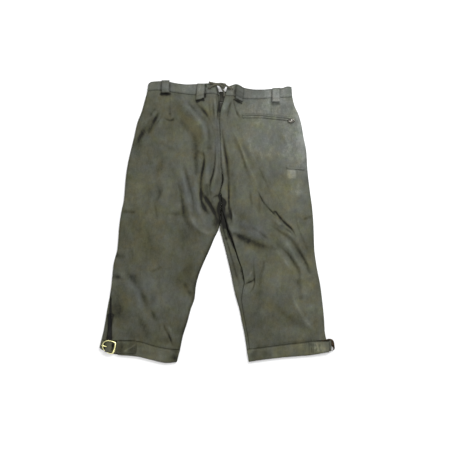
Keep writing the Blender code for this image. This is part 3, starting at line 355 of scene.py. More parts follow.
# The hide's unevenness: height, length along x and y, and place in the noise.
RELIEF = [(0.42, 38.0, 52.0, 0.0), (0.20, 15.0, 19.0, 7.0), (0.09, 6.0, 6.5, 15.0)]
PUCKER, PUCKER_REACH = 1.6, 14.0                   # beside the waist's and the hem's seams

# Forms that follow an edge or a seam: rise and reach.
SEAM_GROOVE, WAIST_GROOVE = (-1.1, 1.1), (-0.5, 1.6)
ROLLED_EDGE, WRAP_EDGE = (2.6, 8.0), (-1.6, 3.0)
ALLOWANCE = 0.8               # the centre seam's allowances lift the left panel beside it
ALLOWANCE_WIDTH = 8.4
SEWN_DROP, VENT_DROP, DROP_ROUND = 1.5, 1.2, 1.8   # of a back's edge beside its front's wrap
ROLLED_WRAP, ROLLED_FOOT_Y, ROLLED_BLEND = 12.0, -190.0, 60.0      # where that edge is rolled
WAIST_TUCK, WAIST_TUCK_REACH = 0.3, 7.0            # the back rises to this below its band's top

# ----------------------------------------------------------------------------- tone and painted light
# Centre x, y, half-lengths along x and y, lighter or darker, cooler or warmer.

# Besides the hide's own patches of tone, many are painted light: 'upper right sheen' is a painted
# highlight from the light at the upper right, the cool patches are painted bluish sheen, and the patches
# by the fork, under the waistband and the welt and those named shaded are painted shade.
PATCHES = [
    ("upper right sheen", 190, 220, 90, 120, 0.34, 0.45),
    ("right waist", 120, 320, 110, 50, 0.2, 0.05),
    ("right seat, warm", 70, 200, 34, 90, 0.02, -0.35),
    ("right hip, cool", 120, 215, 45, 50, 0.06, 0.3),
    ("right thigh, warm", 150, 70, 60, 45, -0.02, -0.35),
    ("inner fold, cool", 90, -20, 60, 26, 0.02, 0.5),
    ("worn by the knife pocket", 198, 126, 14, 17, 0.05, -0.25),
    ("right shin, warm", 160, -120, 50, 60, 0.02, -0.2),
    ("right knee, warm", 176, -235, 50, 40, -0.1, -0.25),
    ("right knee, inner", 110, -250, 40, 60, -0.06, 0.15),
    ("left hip, dark", -190, 250, 50, 70, -0.1, -0.2),
    ("left seat, cool", -100, 210, 50, 60, 0.06, -0.1),
    ("left seat, warm", -60, 270, 34, 44, -0.02, -0.3),
    ("centre seam, cool", 0, 170, 22, 90, 0.06, 0.3),
    ("left thigh, warm", -205, 60, 50, 90, -0.1, -0.4),
    ("left thigh, cool", -86, 50, 34, 80, 0.02, 0.4),
    ("left knee, dark", -215, -60, 60, 90, -0.12, -0.3),
    ("left shin, cool", -190, -170, 30, 60, 0.02, 0.4),
    ("left shin, neutral", -120, -210, 30, 70, 0, 0.45),
    ("left hem, dark", -160, -300, 70, 40, -0.1, -0.15),
    ("left vent side, dark", -262, -236, 22, 36, -0.22, -0.6),
    ("left hem, inner", -130, -300, 40, 30, -0.04, -0.2),
    ("knee inner edge, dark", -84, -150, 26, 40, -0.1, -0.5),
    ("right thigh, olive", 196, 84, 40, 40, 0.04, -0.4),
    ("right shin, olive", 186, -126, 34, 22, 0.02, -0.25),
    ("right knee, olive", 150, -250, 44, 40, -0.06, -0.15),
    ("left thigh, olive", -176, -70, 40, 40, 0.02, -0.6),
    ("left shin, olive", -232, -200, 24, 40, 0.04, -0.3),
    ("seat, brown", -108, 258, 30, 44, -0.16, -0.3),
    ("left waistband, light", -100, 352, 90, 12, 0.16, 0.2),
    ("left hip, light", -192, 54, 36, 30, 0.18, 0),
    ("left knee, light", -206, -112, 30, 24, 0.1, 0),
    ("between the legs' ridges", -26, -4, 24, 20, 0.16, 0.8),
    ("left thigh, shaded", -74, -26, 22, 28, -0.2, -0.1),
    ("left fork side, shaded", -59, 42, 11, 26, -0.24, 0),
    ("inner knee edge", -76, -126, 16, 44, -0.18, -0.3),
    ("outer shin, shaded", -262, -178, 15, 34, -0.18, -0.1),
    ("by the fork, small", 0, 104, 8, 11, -0.24, 0),
    ("right seat, light", 52, 250, 26, 24, 0.16, -0.1),
    ("right seat, lower light", 58, 200, 20, 24, 0.12, -0.2),
    ("right thigh, light", 80, 86, 26, 44, 0.18, -0.1),
    ("right hip spot", 156, 206, 20, 18, -0.14, 0),
    ("right hip spot, inner", 106, 224, 20, 16, -0.12, 0),
    ("right thigh spot", 148, 122, 12, 26, -0.2, 0),
    ("under the right waistband", 184, 300, 26, 14, -0.18, 0),
    ("right hip edge, light", 226, 220, 16, 70, 0.16, 0.1),
    ("right shin, light", 232, -180, 40, 50, 0.19, 0),
    ("right knee, light", 150, -232, 60, 24, 0.2, -0.2),
    ("right shin, brown", 112, -186, 14, 34, -0.18, -0.2),
    ("right shin spot", 86, -140, 12, 16, -0.14, 0.1),
    ("right knee spot", 258, -250, 10, 26, -0.12, 0),
    ("right edge, cool", 236, 210, 30, 150, 0.02, 0.85),
    ("right waist, cool", 124, 326, 90, 36, 0, 0.9),
    ("right seat, cooler", 74, 224, 26, 30, 0, 0.6),
    ("left shin ridge, cool", -232, -140, 22, 30, 0, 0.5),
    ("left thigh, inner warm", -110, 20, 26, 50, 0, -0.6),
    ("left thigh, warm spot", -150, 62, 22, 16, 0, -0.35),
    ("left waist, warm", -130, 326, 22, 26, 0, -0.55),
    ("left seat, cool spot", -88, 286, 22, 18, 0, 0.5),
    ("left waist, cool", -20, 330, 16, 18, 0, 0.5),
    ("left hip, cool spot", -205, 178, 18, 18, 0, 0.55),
    ("left thigh, cool spot", -170, 60, 22, 34, 0, 0.3),
    ("right thigh, low warm", 156, -18, 36, 24, 0, -0.6),
    ("right calf edge, warm", 242, -120, 16, 76, 0, -0.45),
    ("right hem edge, warm", 250, -280, 26, 26, 0, -0.4),
    ("left of the gap", -5, -7, 8, 13, -0.4, 0),
    ("right of the fork", 28, 14, 8, 15, -0.36, 0),
    ("right thigh spot, outer", 214, 54, 18, 12, -0.18, 0),
    ("inner fold spot", 90, -12, 20, 14, -0.2, 0),
    ("inner fold's end", 165, -60, 9, 17, -0.2, 0),
    ("right of the seat crease", 46, 88, 8, 36, -0.15, 0),
    ("left thigh spot", -106, 68, 12, 34, -0.13, 0),
    ("right thigh spot, upper", 118, 112, 8, 22, -0.12, 0),
    ("left knee spot", -160, -30, 22, 36, -0.08, 0),
    ("left hip band", -176, 120, 8, 40, -0.1, 0),
    ("left seat band", -142, 130, 9, 44, -0.1, 0),
    ("left seat spot", -90, 186, 22, 16, -0.1, 0),
    ("inner crease spot", -30, 90, 6, 13, -0.24, 0),
    ("seat crease's foot, spot", -31, 40, 8, 12, -0.18, 0),
    ("left calf, between", -172, -204, 14, 32, -0.2, 0),
    ("left knee, small light", -200, -52, 16, 12, 0.12, 0),
    ("under the welt", 106, 275, 13, 8, -0.12, 0),
    ("right hip spot, low", 113, 198, 11, 11, -0.13, 0),
    ("right thigh edge spot", 236, 102, 7, 18, -0.14, 0),
    ("right shin, inner light", 148, -140, 32, 30, 0.08, 0),
    ("right knee, dark spot", 161, -252, 12, 22, -0.14, 0),
    ("right tab, light", 262, -334, 22, 14, 0.14, 0),
    ("right knee band, dark", 220, -342, 20, 8, -0.1, 0),
    ("seat, shaded by the crease", -38, 236, 14, 28, -0.1, 0),
    ("seat spot, upper", -92, 256, 18, 22, -0.07, 0),
    ("left thigh, light", -212, 108, 28, 34, 0.09, 0),
    ("left thigh, low light", -190, 22, 18, 26, 0.06, 0),
    ("left thigh, inner spot", -106, 18, 24, 22, -0.07, 0),
    ("left thigh, small spot", -160, 10, 10, 13, -0.07, 0),
    ("by the fork, left spot", -24, 16, 9, 18, -0.12, 0),
    ("left hem spot", -150, -316, 26, 14, -0.12, 0),
    ("left knee band, dark", -190, -346, 44, 10, -0.1, 0),
    ("left hem, inner spot", -106, -262, 12, 22, -0.1, 0),
    ("right thigh, small spot", 142, 106, 11, 13, -0.12, 0),
    ("inner fold, below", 122, -80, 34, 8, -0.1, 0),
    ("right knee edge, light", 274, -240, 12, 60, 0.08, 0),
    ("right waistband, shaded", 100, 342, 40, 10, -0.14, 0),
    ("right thigh, outer light", 200, 58, 46, 50, 0.14, 0),
    ("right hem, light", 222, -290, 60, 26, 0.16, 0),
    ("right calf spot", 190, -128, 20, 12, -0.14, 0),
    ("seat spot, left", -64, 168, 10, 26, -0.05, 0),
    ("seat spot, middle", -18, 178, 9, 24, -0.14, 0),
    ("seat spot, centre", -1, 160, 7, 18, -0.14, 0),
    ("inner fold, shaded", 62, 4, 14, 14, -0.16, 0),
    ("hip pocket, shaded", -206, 208, 12, 20, -0.16, 0),
    ("fork, dark", 6, 30, 22, 34, -0.16, -0.3)]
WORN_PATCH = (197.0, 127.5, 12.5, 13.0, 0.28)      # beside the knife pocket, with crisp edges
# Painted shade in hollows, partly dirt there, and painted highlight on what stands out, partly wear.
CAVITY_TONE = 0.09            # darker by this for each millimetre below its surroundings
CAVITY_LIMITS = (-0.22, 0.11)
CAVITY_REACHES = (7.0, 14.0)
# Painted bluish sheen on what stands out, and warmer painted shade in the hollows.
CAVITY_TINT, TINT_LIMITS, TINT_REACH = 0.35, (-0.5, 0.6), 16.0

# Lines of painted shade and painted highlight: widths as a fold's, darker or lighter, and the line's
# points.
# Painted shadows under and beside the belt loops and beside the buckle's bar; painted shade in the fork,
# the vent, the notch, the slits, seams and creases and at the bands' ends; the lighter lines, such as the
# lit welt, are painted highlights.
SHADED_LINES = [
    ("dart, left", 1.8, 1.8, -0.11, DARTS["left"]),
    ("dart, right", 1.8, 1.8, -0.1, DARTS["right"]),
    ("pocket slit", 2.2, 2.2, -0.16, [(60, 281), (68, 282), (112, 282), (150, 280), (194, 274)]),
    ("pocket's lower edge", 2, 2, -0.14, [(118, 276), (150, 273), (176, 269), (192, 264)]),
    ("lit welt", 2.2, 2.2, 0.1, [(64, 278), (74, 278.5), (92, 278.5), (108, 278)]),
    ("centre seam", 2.2, 2.2, -0.7, [(13, 136), (14, 124), (15, 112), (13, 100), (9, 86), (6, 74),
     (8, 62), (13, 52)]),
    ("fork's upper corner", 4, 5, -1.6, [(7, 76), (10, 66), (15, 58), (19, 50), (14, 40)]),
    ("fork's hollow", 4.5, 6.5, -2.6, [(12, 60), (12.5, 44), (13, 30), (16, 14), (22, -4), (28, -20)]),
    ("inner layer in the fork's shade", 8, 8, -0.36, [(10, 10), (14, -8), (20, -28), (27, -50)]),
    ("inseam, upper", 3.4, 2.6, -1.2, [(14, 24), (22, 0), (29, -22), (37, -44), (47, -74)]),
    ("inseam", 1.5, 1.4, -0.9, [(28, -16), (39, -46), (50, -78), (59, -106), (66, -132), (73, -166)]),
    ("inner layer's line", 2, 2, -0.4, [(14, -10), (24, -44), (36, -84), (47, -124), (57, -158)]),
    ("under the left outer loop", 4.6, 4, -0.8, [(-152, 338), (-136, 337.6), (-119, 338)]),
    ("under the left inner loop", 3.2, 3.2, -1, [(-57, 318), (-45, 321), (-32, 324.5)]),
    ("under the right inner loop", 2.4, 2.4, -0.9, [(42, 325), (55, 318.4), (68, 312)]),
    ("under the right outer loop", 3.6, 3.6, -0.5, [(143, 312.5), (156, 312), (169, 312.5)]),
    ("right of the left inner loop", 1.8, 1.8, -0.9, [(-29, 368), (-30, 350), (-32, 326)]),
    ("left of the right inner loop", 1.6, 1.6, -0.7, [(48.5, 364), (48, 345), (45.5, 326)]),
    ("left of the right outer loop", 1.5, 1.5, -0.2, [(144, 354), (144, 335), (144, 315)]),
    ("left of the left outer loop", 1.5, 1.5, -0.14, [(-147.5, 374), (-147.5, 358), (-148, 342)]),
    ("right of the left outer loop", 1.5, 1.5, -0.6, [(-123.5, 374), (-123.5, 358), (-123.5, 342)]),
    ("notch's left edge", 2.6, 2.4, -0.7, [(0, 362), (2, 345), (4.6, 325), (5.6, 306), (6.6, 286)]),
    ("above the hem, left", 8, 5, 0.1, [(-270, -306), (-200, -312), (-150, -322), (-106, -332)]),
    ("above the hem, right", 3, 5, -0.14, [(86, -333), (128, -327), (200, -318), (284, -308)]),
    ("left tab, dark", 26, 26, -0.3, [(-266, -331), (-238, -332), (-212, -333)]),
    ("left tab, line", 2, 2, -0.15, [(-252, -315), (-251, -330), (-252, -348)]),
    ("left tab, light line", 1.8, 1.8, 0.36, [(-246, -343), (-234, -335), (-222, -328), (-212, -320)]),
    ("left tab, end", 2, 2, -0.16, [(-213, -318), (-214, -332), (-216, -352)]),
    ("beside the left buckle's bar", 2.2, 2.2, -0.9, [(-275, -315), (-274.5, -326), (-278, -340)]),
    ("right tab, seam", 2, 2, -0.35, [(248, -318), (249, -332), (250, -348)]),
    ("right tab, second seam", 1.8, 1.8, -0.3, [(253, -318), (254, -332), (255, -348)]),
    ("right tab, light", 13, 13, 0.17, [(246, -330), (264, -332), (284, -334), (302, -336)]),
    ("right tab, crinkle", 1.8, 1.8, -0.3, [(258, -322), (263, -332), (260, -344)]),
    ("right tab, second crinkle", 1.8, 1.8, -0.3, [(272, -320), (270, -331), (276, -342)]),
    ("vent", 5, 5.4, -1.6, [(-281, -238), (-282, -262), (-284, -290), (-285, -316)]),
    ("vent, upper", 2, 2.4, -0.9, [(-280, -196), (-281, -226), (-282, -262)]),
    ("dark beside the seat crease", 9, 7, -0.22, [(-58, 236), (-60, 200), (-56, 160), (-52, 118)]),
    ("dark between the seat ridges", 6, 6, -0.22, [(-38, 286), (-26, 256), (-21, 226), (-19, 184)]),
    ("dark by the inner crease", 5, 5, -0.24, [(-24, 104), (-26, 86), (-22, 66)]),
    ("light under the waist, left", 7, 7, 0.16, [(-96, 312), (-74, 298), (-56, 276), (-44, 252)]),
    ("band's end, left knee", 14, 12, -0.36, [(-108, -336), (-110, -356), (-113, -376)]),
    ("band's end, right knee", 16, 16, -0.32, [(88, -342), (104, -352), (150, -348)]),
    ("under the waistband, left", 12, 14, 0.1, [(-170, 330), (-110, 326), (-60, 322)]),
    ("seat crease's foot", 5.5, 5.5, -0.38, [(-43, 84), (-43, 62), (-38, 44), (-27, 28), (-16, 18)]),
    ("inner crease's foot", 3, 3, -0.2, [(-14, 84), (-14, 66), (-10, 46)]),
    ("thigh line's dark side", 8, 8, -0.14, [(66, 214), (78, 188), (89, 162), (97, 136)]),
    ("knee creases, between", 3, 3, -0.34, [(166, -6), (180, -17), (192, -25), (203, -36)]),
    ("crease over the knee, start", 2.6, 2.6, -0.34, [(146, 26), (155, 26), (163, 16), (171, 6)]),
    ("inner fold's start", 9, 10, -0.26, [(38, -30), (54, -36), (72, -45), (90, -53)]),
    ("calf crease's end", 4, 4, -0.26, [(229, -104), (237, -119), (247, -139)]),
    ("outer shin line", 7, 7, -0.22, [(214, -146), (219, -176), (225, -208)])]
LINE_END = 0.12               # share of a shaded line's length over which each end fades
# The same, but cooler or warmer: painted bluish sheen along ridges that face the light, and warmer
# painted shade beside and under folds.
TINTED_LINES = [
    ("blue ridge from the waist", 16, 12, 0.9, [(-130, 340), (-100, 330), (-78, 312), (-58, 290),
     (-42, 268), (-32, 240), (-27, 200)]),
    ("brown side of it", 18, 16, -0.9, [(-150, 322), (-120, 306), (-92, 284), (-70, 260), (-54, 232),
     (-48, 200), (-54, 160)]),
    ("brown beside the crease", 8, 8, -0.7, [(-50, 318), (-34, 300), (-20, 280), (-12, 258)]),
    ("cool centre ridges", 8, 8, 0.9, [(-8, 336), (-4, 300), (0, 262), (2, 220), (2, 180), (0, 140)]),
    ("cool left thigh", 12, 12, 0.9, [(-104, 160), (-90, 130), (-78, 96), (-66, 60), (-50, 28), (-34, 0),
     (-24, -20)]),
    ("cool inner fold", 14, 12, 0.9, [(40, 4), (66, -6), (92, -18), (120, -36), (150, -60)]),
    ("warm under the inner fold", 12, 14, -0.7, [(60, -50), (90, -66), (120, -84), (150, -96)]),
    ("cool calf, left", 10, 10, 0.7, [(-246, -112), (-226, -144), (-210, -172), (-198, -202),
     (-184, -232)]),
    ("warm calf, left", 16, 16, -0.5, [(-176, -130), (-160, -170), (-148, -210), (-150, -250)])]

# Painted shade along an edge or a seam, where the leather rounds down or dips: tone and reach.
SEAM_SHADE, WAIST_SHADE = (-0.14, 1.6), (-0.10, 2.4)
INNER_EDGE_SHADE, OUTER_EDGE_SHADE = (-0.28, 6.5), (-0.03, 6.5)
BAND_EDGE_SHADE, PATCH_EDGE_SHADE = (-0.2, 1.5), (-0.25, 1.0)
BAND_TONE, WAIST_COOL, KNEE_COOL = 0.10, 0.5, -0.3
STRAP_TONE, STRAP_COOL = 0.06, -0.4

# ----------------------------------------------------------------------- mesh detail

LEG_ROWS, HIP_ROWS = 215, 90
BACK_COLUMNS, FRONT_COLUMNS, WRAP_COLUMNS = 104, 30, 14
STITCH_SIDES, TURNED_STEPS = 6, 48
EDGE_ANGLES = np.radians([0, 4, 13, 23, 34, 46, 58, 74, 90])        # round an edge
STRIP_EDGE = np.array([0.0, 0.35, 0.85, 1.4, 1.9, 2.4, 3.0, 3.8])   # in from a strip's edge
BAND_STEP = 4.0
FIELD_CORNER, FIELD_STEP, TINT_STEP = (-340.0, -400.0), 1.5, 3.0    # of the held values

# -------------------------------------------------------- finishes, view and light

HIDE_SHADES = [
    (0.0, (0.003, 0.003, 0.001)), (0.25, (0.031, 0.032, 0.0195)), (0.50, (0.056, 0.058, 0.042)),
    (0.75, (0.087, 0.090, 0.066)), (1.0, (0.165, 0.169, 0.128))]
LACE_SHADES = [(0.0, (0.012, 0.012, 0.008)), (1.0, (0.115, 0.113, 0.090))]
# COOL_TINT colours the painted bluish sheen as well as the hide's cool patches.
WARM_TINT, COOL_TINT = (1.08, 1.00, 0.72), (0.95, 0.98, 1.20)
BROWN_TINT, OLIVE_TINT = (1.045, 0.985, 0.93), (0.975, 1.015, 0.93)
WHITE = (1.0, 1.0, 1.0)
SUEDE_COLOUR, THREAD_COLOUR = (0.034, 0.034, 0.024), (0.050, 0.047, 0.034)

# The hide's mottling: strength, drawn out along the legs, then the noise's scale, detail,
# roughness and distortion.
CLOUDS, BLOTCHES = (0.75, False, 15.0, 3.0, 0.6, 0.0), (0.44, True, 62.0, 5.0, 0.65, 0.4)
STREAKS, SPECKS = (0.34, True, 150.0, 4.0, 0.7, 0.6), (0.38, False, 420.0, 4.0, 0.6, 0.0)
DRAWN_OUT = (1.0, 0.55, 1.0)
WARMTH_STRENGTH, WARMTH_CLOUDS = 0.42, 1.7         # of the tone's warmth, and of the noise's
# The noises of its colours, as above from the scale on, and where in them the hide lies.
HUE_NOISE, HUE_PLACE = (27.0, 5.0, 0.65, 0.3), (3.1, 1.7, 0.4)
EARTH_NOISE, EARTH_PLACE = (34.0, 4.0, 0.65, 0.2), (-2.3, 5.1, 1.9)
# Its bumps: distance in metres and strength.
CREASING, CREASING_BUMP = (34.0, 3.0, 0.5, 0.6), (0.0030, 0.42)
WRINKLES, WRINKLES_BUMP = (150.0, 5.0, 0.62, 1.1), (0.0011, 0.34)
PORES_SCALE, PORES_BUMP = 760.0, (0.0004, 0.22)

VIEW_CENTRE, VIEW_WIDTH, CAMERA_HEIGHT = (0.0213, -0.0080), 1.1925, 2.4   # in metres
FLOOR_Z, FLOOR_HALF, FLOOR_COLOUR = -0.0002, 2.5, (0.86, 0.86, 0.86, 1.0)
WORLD_COLOUR, WORLD_STRENGTH = (0.97, 0.98, 1.0), 0.55
LIGHTS = [                     # name, place in metres, size, power, colour
    ("key, upper right", (1.05, 1.5, 1.7), 1.3, 62.0, (0.98, 0.99, 1.0)),
    ("fill, overhead", (-0.2, 0.1, 2.9), 1.8, 26.0, (1.0, 0.99, 0.97)),
    ("fill, left", (-1.7, -0.6, 1.6), 1.6, 9.0, (1.0, 0.98, 0.94))]


# ---------------------------------------------------------------------------- curves

def smooth_curve(table):
    """Reads a curve through rows of (position, value), with no overshoot."""
    position, value = np.array(sorted(table), dtype=float).T
    step = np.diff(position)
    slope = np.diff(value) / step
    tangent = np.zeros(len(position))
    tangent[0], tangent[-1] = slope[0], slope[-1]
    for i in range(1, len(slope)):
        before, after = slope[i - 1], slope[i]
        if before * after > 0:
            tangent[i] = 2 * before * after / (before + after)

    def read(at):
        at = np.clip(np.asarray(at, dtype=float), position[0], position[-1])
        i = np.clip(np.searchsorted(position, at) - 1, 0, len(step) - 1)
        u = (at - position[i]) / step[i]
        return ((1 + 2 * u) * (1 - u) ** 2 * value[i]
                + u * (1 - u) ** 2 * step[i] * tangent[i]
                + u * u * (3 - 2 * u) * value[i + 1]
                + u * u * (u - 1) * step[i] * tangent[i + 1])
    return read


def smooth_step(x):
    x = np.clip(x, 0.0, 1.0)
    return x * x * (3 - 2 * x)


def mix(a, b, share):
    return a + (b - a) * share


def along_edge(distance, rise, reach):
    """A rise at an edge or a seam, which falls off by distance from it."""
    return rise * np.exp(-(distance / reach) ** 2)


def oval(x, y, centre_x, centre_y, half_x, half_y, power=2):
    """1 in the middle of an oval, falling off over its half-lengths."""
    return np.exp(-((x - centre_x) / half_x) ** power - ((y - centre_y) / half_y) ** power)


def unit(vectors):
    return vectors / np.linalg.norm(vectors, axis=-1, keepdims=True)


def lengths_along(points):
    """How far along its line each point is."""
    return np.r_[0.0, np.cumsum(np.linalg.norm(np.diff(points, axis=0), axis=1))]


def flowing_line(points, step):
    """Points every step along a smooth line through the given ones."""
    points = np.array(points, dtype=float)
    chord = lengths_along(points)
    at = np.linspace(0.0, chord[-1], max(2, int(round(chord[-1] / step)) + 1))
    return np.stack([smooth_curve(list(zip(chord, axis)))(at) for axis in points.T], axis=1)


def beside(line, offset):
    """A line moved to its left by the offset."""
    line = flowing_line(line, 6.0)
    run = unit(np.gradient(line, axis=0))
    return line + offset * np.c_[-run[:, 1], run[:, 0]]


# --------------------------------------------------------------------- the soft form

def add_fold(height, x, y, order, left, right, rise, points, end=FOLD_END):
    """Adds one fold to the flat arrays, only where it reaches."""
    line = flowing_line(points, FOLD_STEP)
    reach = FOLD_REACH * max(left, right) * (1 + FOLD_WANDER)
    low, high = line.min(axis=0) - reach, line.max(axis=0) + reach
    close = (x > low[0]) & (x < high[0]) & (y > low[1]) & (y < high[1])
    if not close.any():
        return
    dx, dy = x[close, None] - line[:, 0], y[close, None] - line[:, 1]
    nearest = (dx * dx + dy * dy).argmin(axis=1)
    rows = np.arange(len(nearest))
    run = unit(np.gradient(line, axis=0))[nearest]
    dx, dy = dx[rows, nearest], dy[rows, nearest]
    aside = run[:, 0] * dy - run[:, 1] * dx
    ahead = run[:, 0] * dx + run[:, 1] * dy
    along = nearest / (len(line) - 1)
    fade = smooth_step(along / end) * smooth_step((1 - along) / end)
    phase = 2.4 * order
    wider = 1 + FOLD_WANDER * np.sin(7.1 * along + phase)
    higher = 1 + FOLD_WANDER * np.sin(11.3 * along + 1.7 * phase)
    width = np.where(aside > 0, left, right) * wider * mix(FOLD_TAPER, 1.0, fade)
    away = np.hypot(aside, np.maximum(np.abs(ahead) - FOLD_STEP, 0.0))
    height[close] += higher * fade * along_edge(away, rise, width)


def sum_of_folds(x, y, folds):
    total = np.zeros(x.size)
    for order, fold in enumerate(folds):
        add_fold(total, x.ravel(), y.ravel(), order, *fold)
    return total.reshape(x.shape)


def top_height(x, y):
    """Outer face of the back, where it is clear of the rounded edges."""
    x, y = np.broadcast_arrays(np.asarray(x, dtype=float), np.asarray(y, dtype=float))
    height = PANEL_TOP + sum(rise * oval(x, y, *place) for _, *place, rise in SWELLS)
    height = height + sum_of_folds(x, y, [(left, right, rise, points)
                                          for _, left, right, rise, _, points in FOLDS])
    spare = height - LOWEST_TOP
    return LOWEST_TOP + 0.5 * (spare + np.hypot(spare, 0.6))


def highest_near(x, y, reach):
    """The top's highest place among a few round about."""
    return np.max([top_height(x + dx, y + dy) for dx in (-reach, 0, reach)
                   for dy in (-reach, 0, reach)], axis=0)


def edge_height(x, y, from_edge):
    """The top's height, with no crease so near a rounded edge that its wall closes up."""
    height = top_height(x, y)
    share = smooth_step(from_edge / EDGE_FLOOR_REACH)
    return mix(np.maximum(height, PANEL_TOP), height, share)


def relief(x, y, amount=1.0):
    """Small unevenness of hide that has been worn and has lain about."""
    height = [sum(rise * noise.noise(Vector((px / size_x, py / size_y, layer)))
                  for rise, size_x, size_y, layer in RELIEF)
              for px, py in zip(x.ravel(), y.ravel())]
    return amount * np.reshape(height, x.shape)


def rounding(distance, radius):
    """0 at an edge, 1 from the radius inwards, as a quarter of an ellipse."""
    return np.sqrt(1 - (1 - np.clip(distance / radius, 0.0, 1.0)) ** 2)


def closure(y):
    """0 where the halves are joined at the centre seam, 1 where the legs are apart."""
    return smooth_step((CROTCH_Y - y) / CROTCH_BLEND)


def wrap_curves(table):
    """Two curves: how far the front and the back panel's edges lie in from an edge."""
    if not table:
        return np.zeros_like, np.zeros_like
    return (smooth_curve([(y, front) for y, front, _ in table]),
            smooth_curve([(y, back) for y, _, back in table]))


class Half:
    """The outlines of one half, and the rows of its back and front panels."""

    def __init__(self, side):
        self.side, self.sign = side, (-1.0 if side == "left" else 1.0)
        # Which end of a table from left to right is the outer one, and which the inner.
        self.out, self.inn = (0, -1) if side == "left" else (-1, 0)
        self.outer_x = smooth_curve(OUTER_EDGE[side])
        self.front_inner_x = smooth_curve(INNER_EDGE[side])
        self.back_inner_x = smooth_curve(NOTCH_EDGE[side] + INNER_EDGE[side])
        self.hem_y = smooth_curve(HEM_SEAM[side])
        self.hem_outer_x, self.hem_inner_x = (HEM_SEAM[side][end][0]
                                              for end in (self.out, self.inn))
        self.back_waist_y = smooth_curve(WAIST_SEAM[side])
        outer_x, self.waist_outer_y = WAIST_SEAM[side][self.out]
        self.front_waist_y = smooth_curve([
            (outer_x, self.waist_outer_y),
            (FRONT_DIP[0] * outer_x, mix(FRONT_CENTRE_Y, self.waist_outer_y, FRONT_DIP[1])),
            (NOTCH_FRONT_X, FRONT_CENTRE_Y)])
        self.inseam_front, self.inseam_back = wrap_curves(INSEAM_WRAP[side])
        self.vent_front, self.vent_back = wrap_curves(VENT_WRAP[side])

    def rows(self, layer):
        """The y of the rows' inner and outer ends, their widths, and a function from
        distances in from their inner ends to points.

        A level of 0 to 1 runs from the hem to the hip line, and 1 to 2 to the waist.
        """
        inner_x, waist_y, waist_inner_x = self.front_inner_x, self.front_waist_y, NOTCH_FRONT_X
        if layer == "back":
            inner_x, waist_y = self.back_inner_x, self.back_waist_y
            waist_inner_x = NOTCH_EDGE[self.side][0][1]
        waist_outer_x = self.outer_x(self.waist_outer_y)
        levels = np.r_[np.linspace(0, 1, LEG_ROWS + 1), np.linspace(1, 2, HIP_ROWS + 1)[1:]]
        leg, hip = np.minimum(levels, 1)[:, None], np.maximum(levels - 1, 0)[:, None]

        def y_at(share):
            hem = self.hem_y(mix(self.hem_inner_x, self.hem_outer_x, share))
            waist = waist_y(mix(waist_inner_x, waist_outer_x, share))
            return mix(mix(hem, HIP_LINE_Y, leg), waist, hip)

        y_inner, y_outer = y_at(0.0), y_at(1.0)
        x_inner = inner_x(y_inner) + self.sign * HALF_GAP
        x_outer = self.outer_x(y_outer)
        width = np.abs(x_outer - x_inner)

        def points(distance):
            share = distance / width
            return mix(x_inner, x_outer, share), y_at(share)
        return y_inner, y_outer, width, points


def edge_steps(radius):
    return radius * (1 - np.cos(EDGE_ANGLES))


def across(start, end, columns):
    """Distances from start to end, closer together over the rounded ends."""
    steps = edge_steps(EDGE_ROUND)
    middle = mix(start + steps[-1], end - steps[-1], np.linspace(0.0, 1.0, columns))
    return np.concatenate([start + steps[:-1], middle, end - steps[:-1][::-1]], axis=1)


def spaced(length, step=2.6):
    """Distances along a strip, closer together near its two edges."""
    last = STRIP_EDGE[-1]
    if length < 2.2 * last:
        return np.linspace(0.0, length, 9)
    count = max(2, int(round((length - 2 * last) / step)) + 1)
    return np.r_[STRIP_EDGE[:-1], np.linspace(last, length - last, count),
                 (length - STRIP_EDGE[:-1])[::-1]]


def bulge(border, crown=0.4, groove=0.45, drop=0.9):
    """Height that a doubled, edge-stitched strip gains over its level, by distance in."""
    return (crown * (1 - np.exp(-border / 5.0)) + along_edge(border - STITCH_IN, -groove, 0.8)
            - drop * np.maximum(0.0, 1 - border / 1.3) ** 2)


# -------------------------------------------------------------------------- the tone and painted light

class Field:
    """Values that are read at many places, held on a fine grid over the whole piece."""

    def __init__(self, values_at, step):
        self.step = step
        x, y = (np.arange(low, -low, step) for low in FIELD_CORNER)
        self.values = values_at(*np.meshgrid(x, y, indexing="ij"))

    def __call__(self, x, y):
        u, v = ((np.asarray(at) - low) / self.step for at, low in zip((x, y), FIELD_CORNER))
        i = np.clip(u.astype(int), 0, self.values.shape[0] - 2)
        j = np.clip(v.astype(int), 0, self.values.shape[1] - 2)
        u, v = u - i, v - j
        lower = mix(self.values[i, j], self.values[i + 1, j], u)
        upper = mix(self.values[i, j + 1], self.values[i + 1, j + 1], u)
        return mix(lower, upper, v)


def standing_out(x, y, reach):
    """How far a place is above those around it, or below zero how far under them."""
    around = [height_field(x + reach * cos(turn), y + reach * sin(turn))
              for turn in np.arange(8) * np.pi / 4]
    return height_field(x, y) - np.mean(around, axis=0)


def shade_at(x, y):
    """Lighter or darker: soft patches of the hide's own tone and of painted sheen and shade, painted
    shade in creases and hollows with painted highlight on what stands out, and painted shadows where
    things lie in shade.
    """
    shade = sum(lighter * oval(x, y, *place) for _, *place, lighter, _ in PATCHES)
    *place, lighter = WORN_PATCH
    shade = shade + lighter * oval(x, y, *place, power=6)
    for reach in CAVITY_REACHES:
        shade = shade + np.clip(CAVITY_TONE * standing_out(x, y, reach), *CAVITY_LIMITS)
    # Painted shade along the creases' middles and painted highlight along the ridges', then the lines of
    # painted shade and highlight.
    middles = [(FOLD_CORE * left, FOLD_CORE * right, tone, points)
               for _, left, right, _, tone, points in FOLDS]
    drawn = [(*line, LINE_END) for _, *line in SHADED_LINES]
    return shade + sum_of_folds(x, y, middles + drawn)


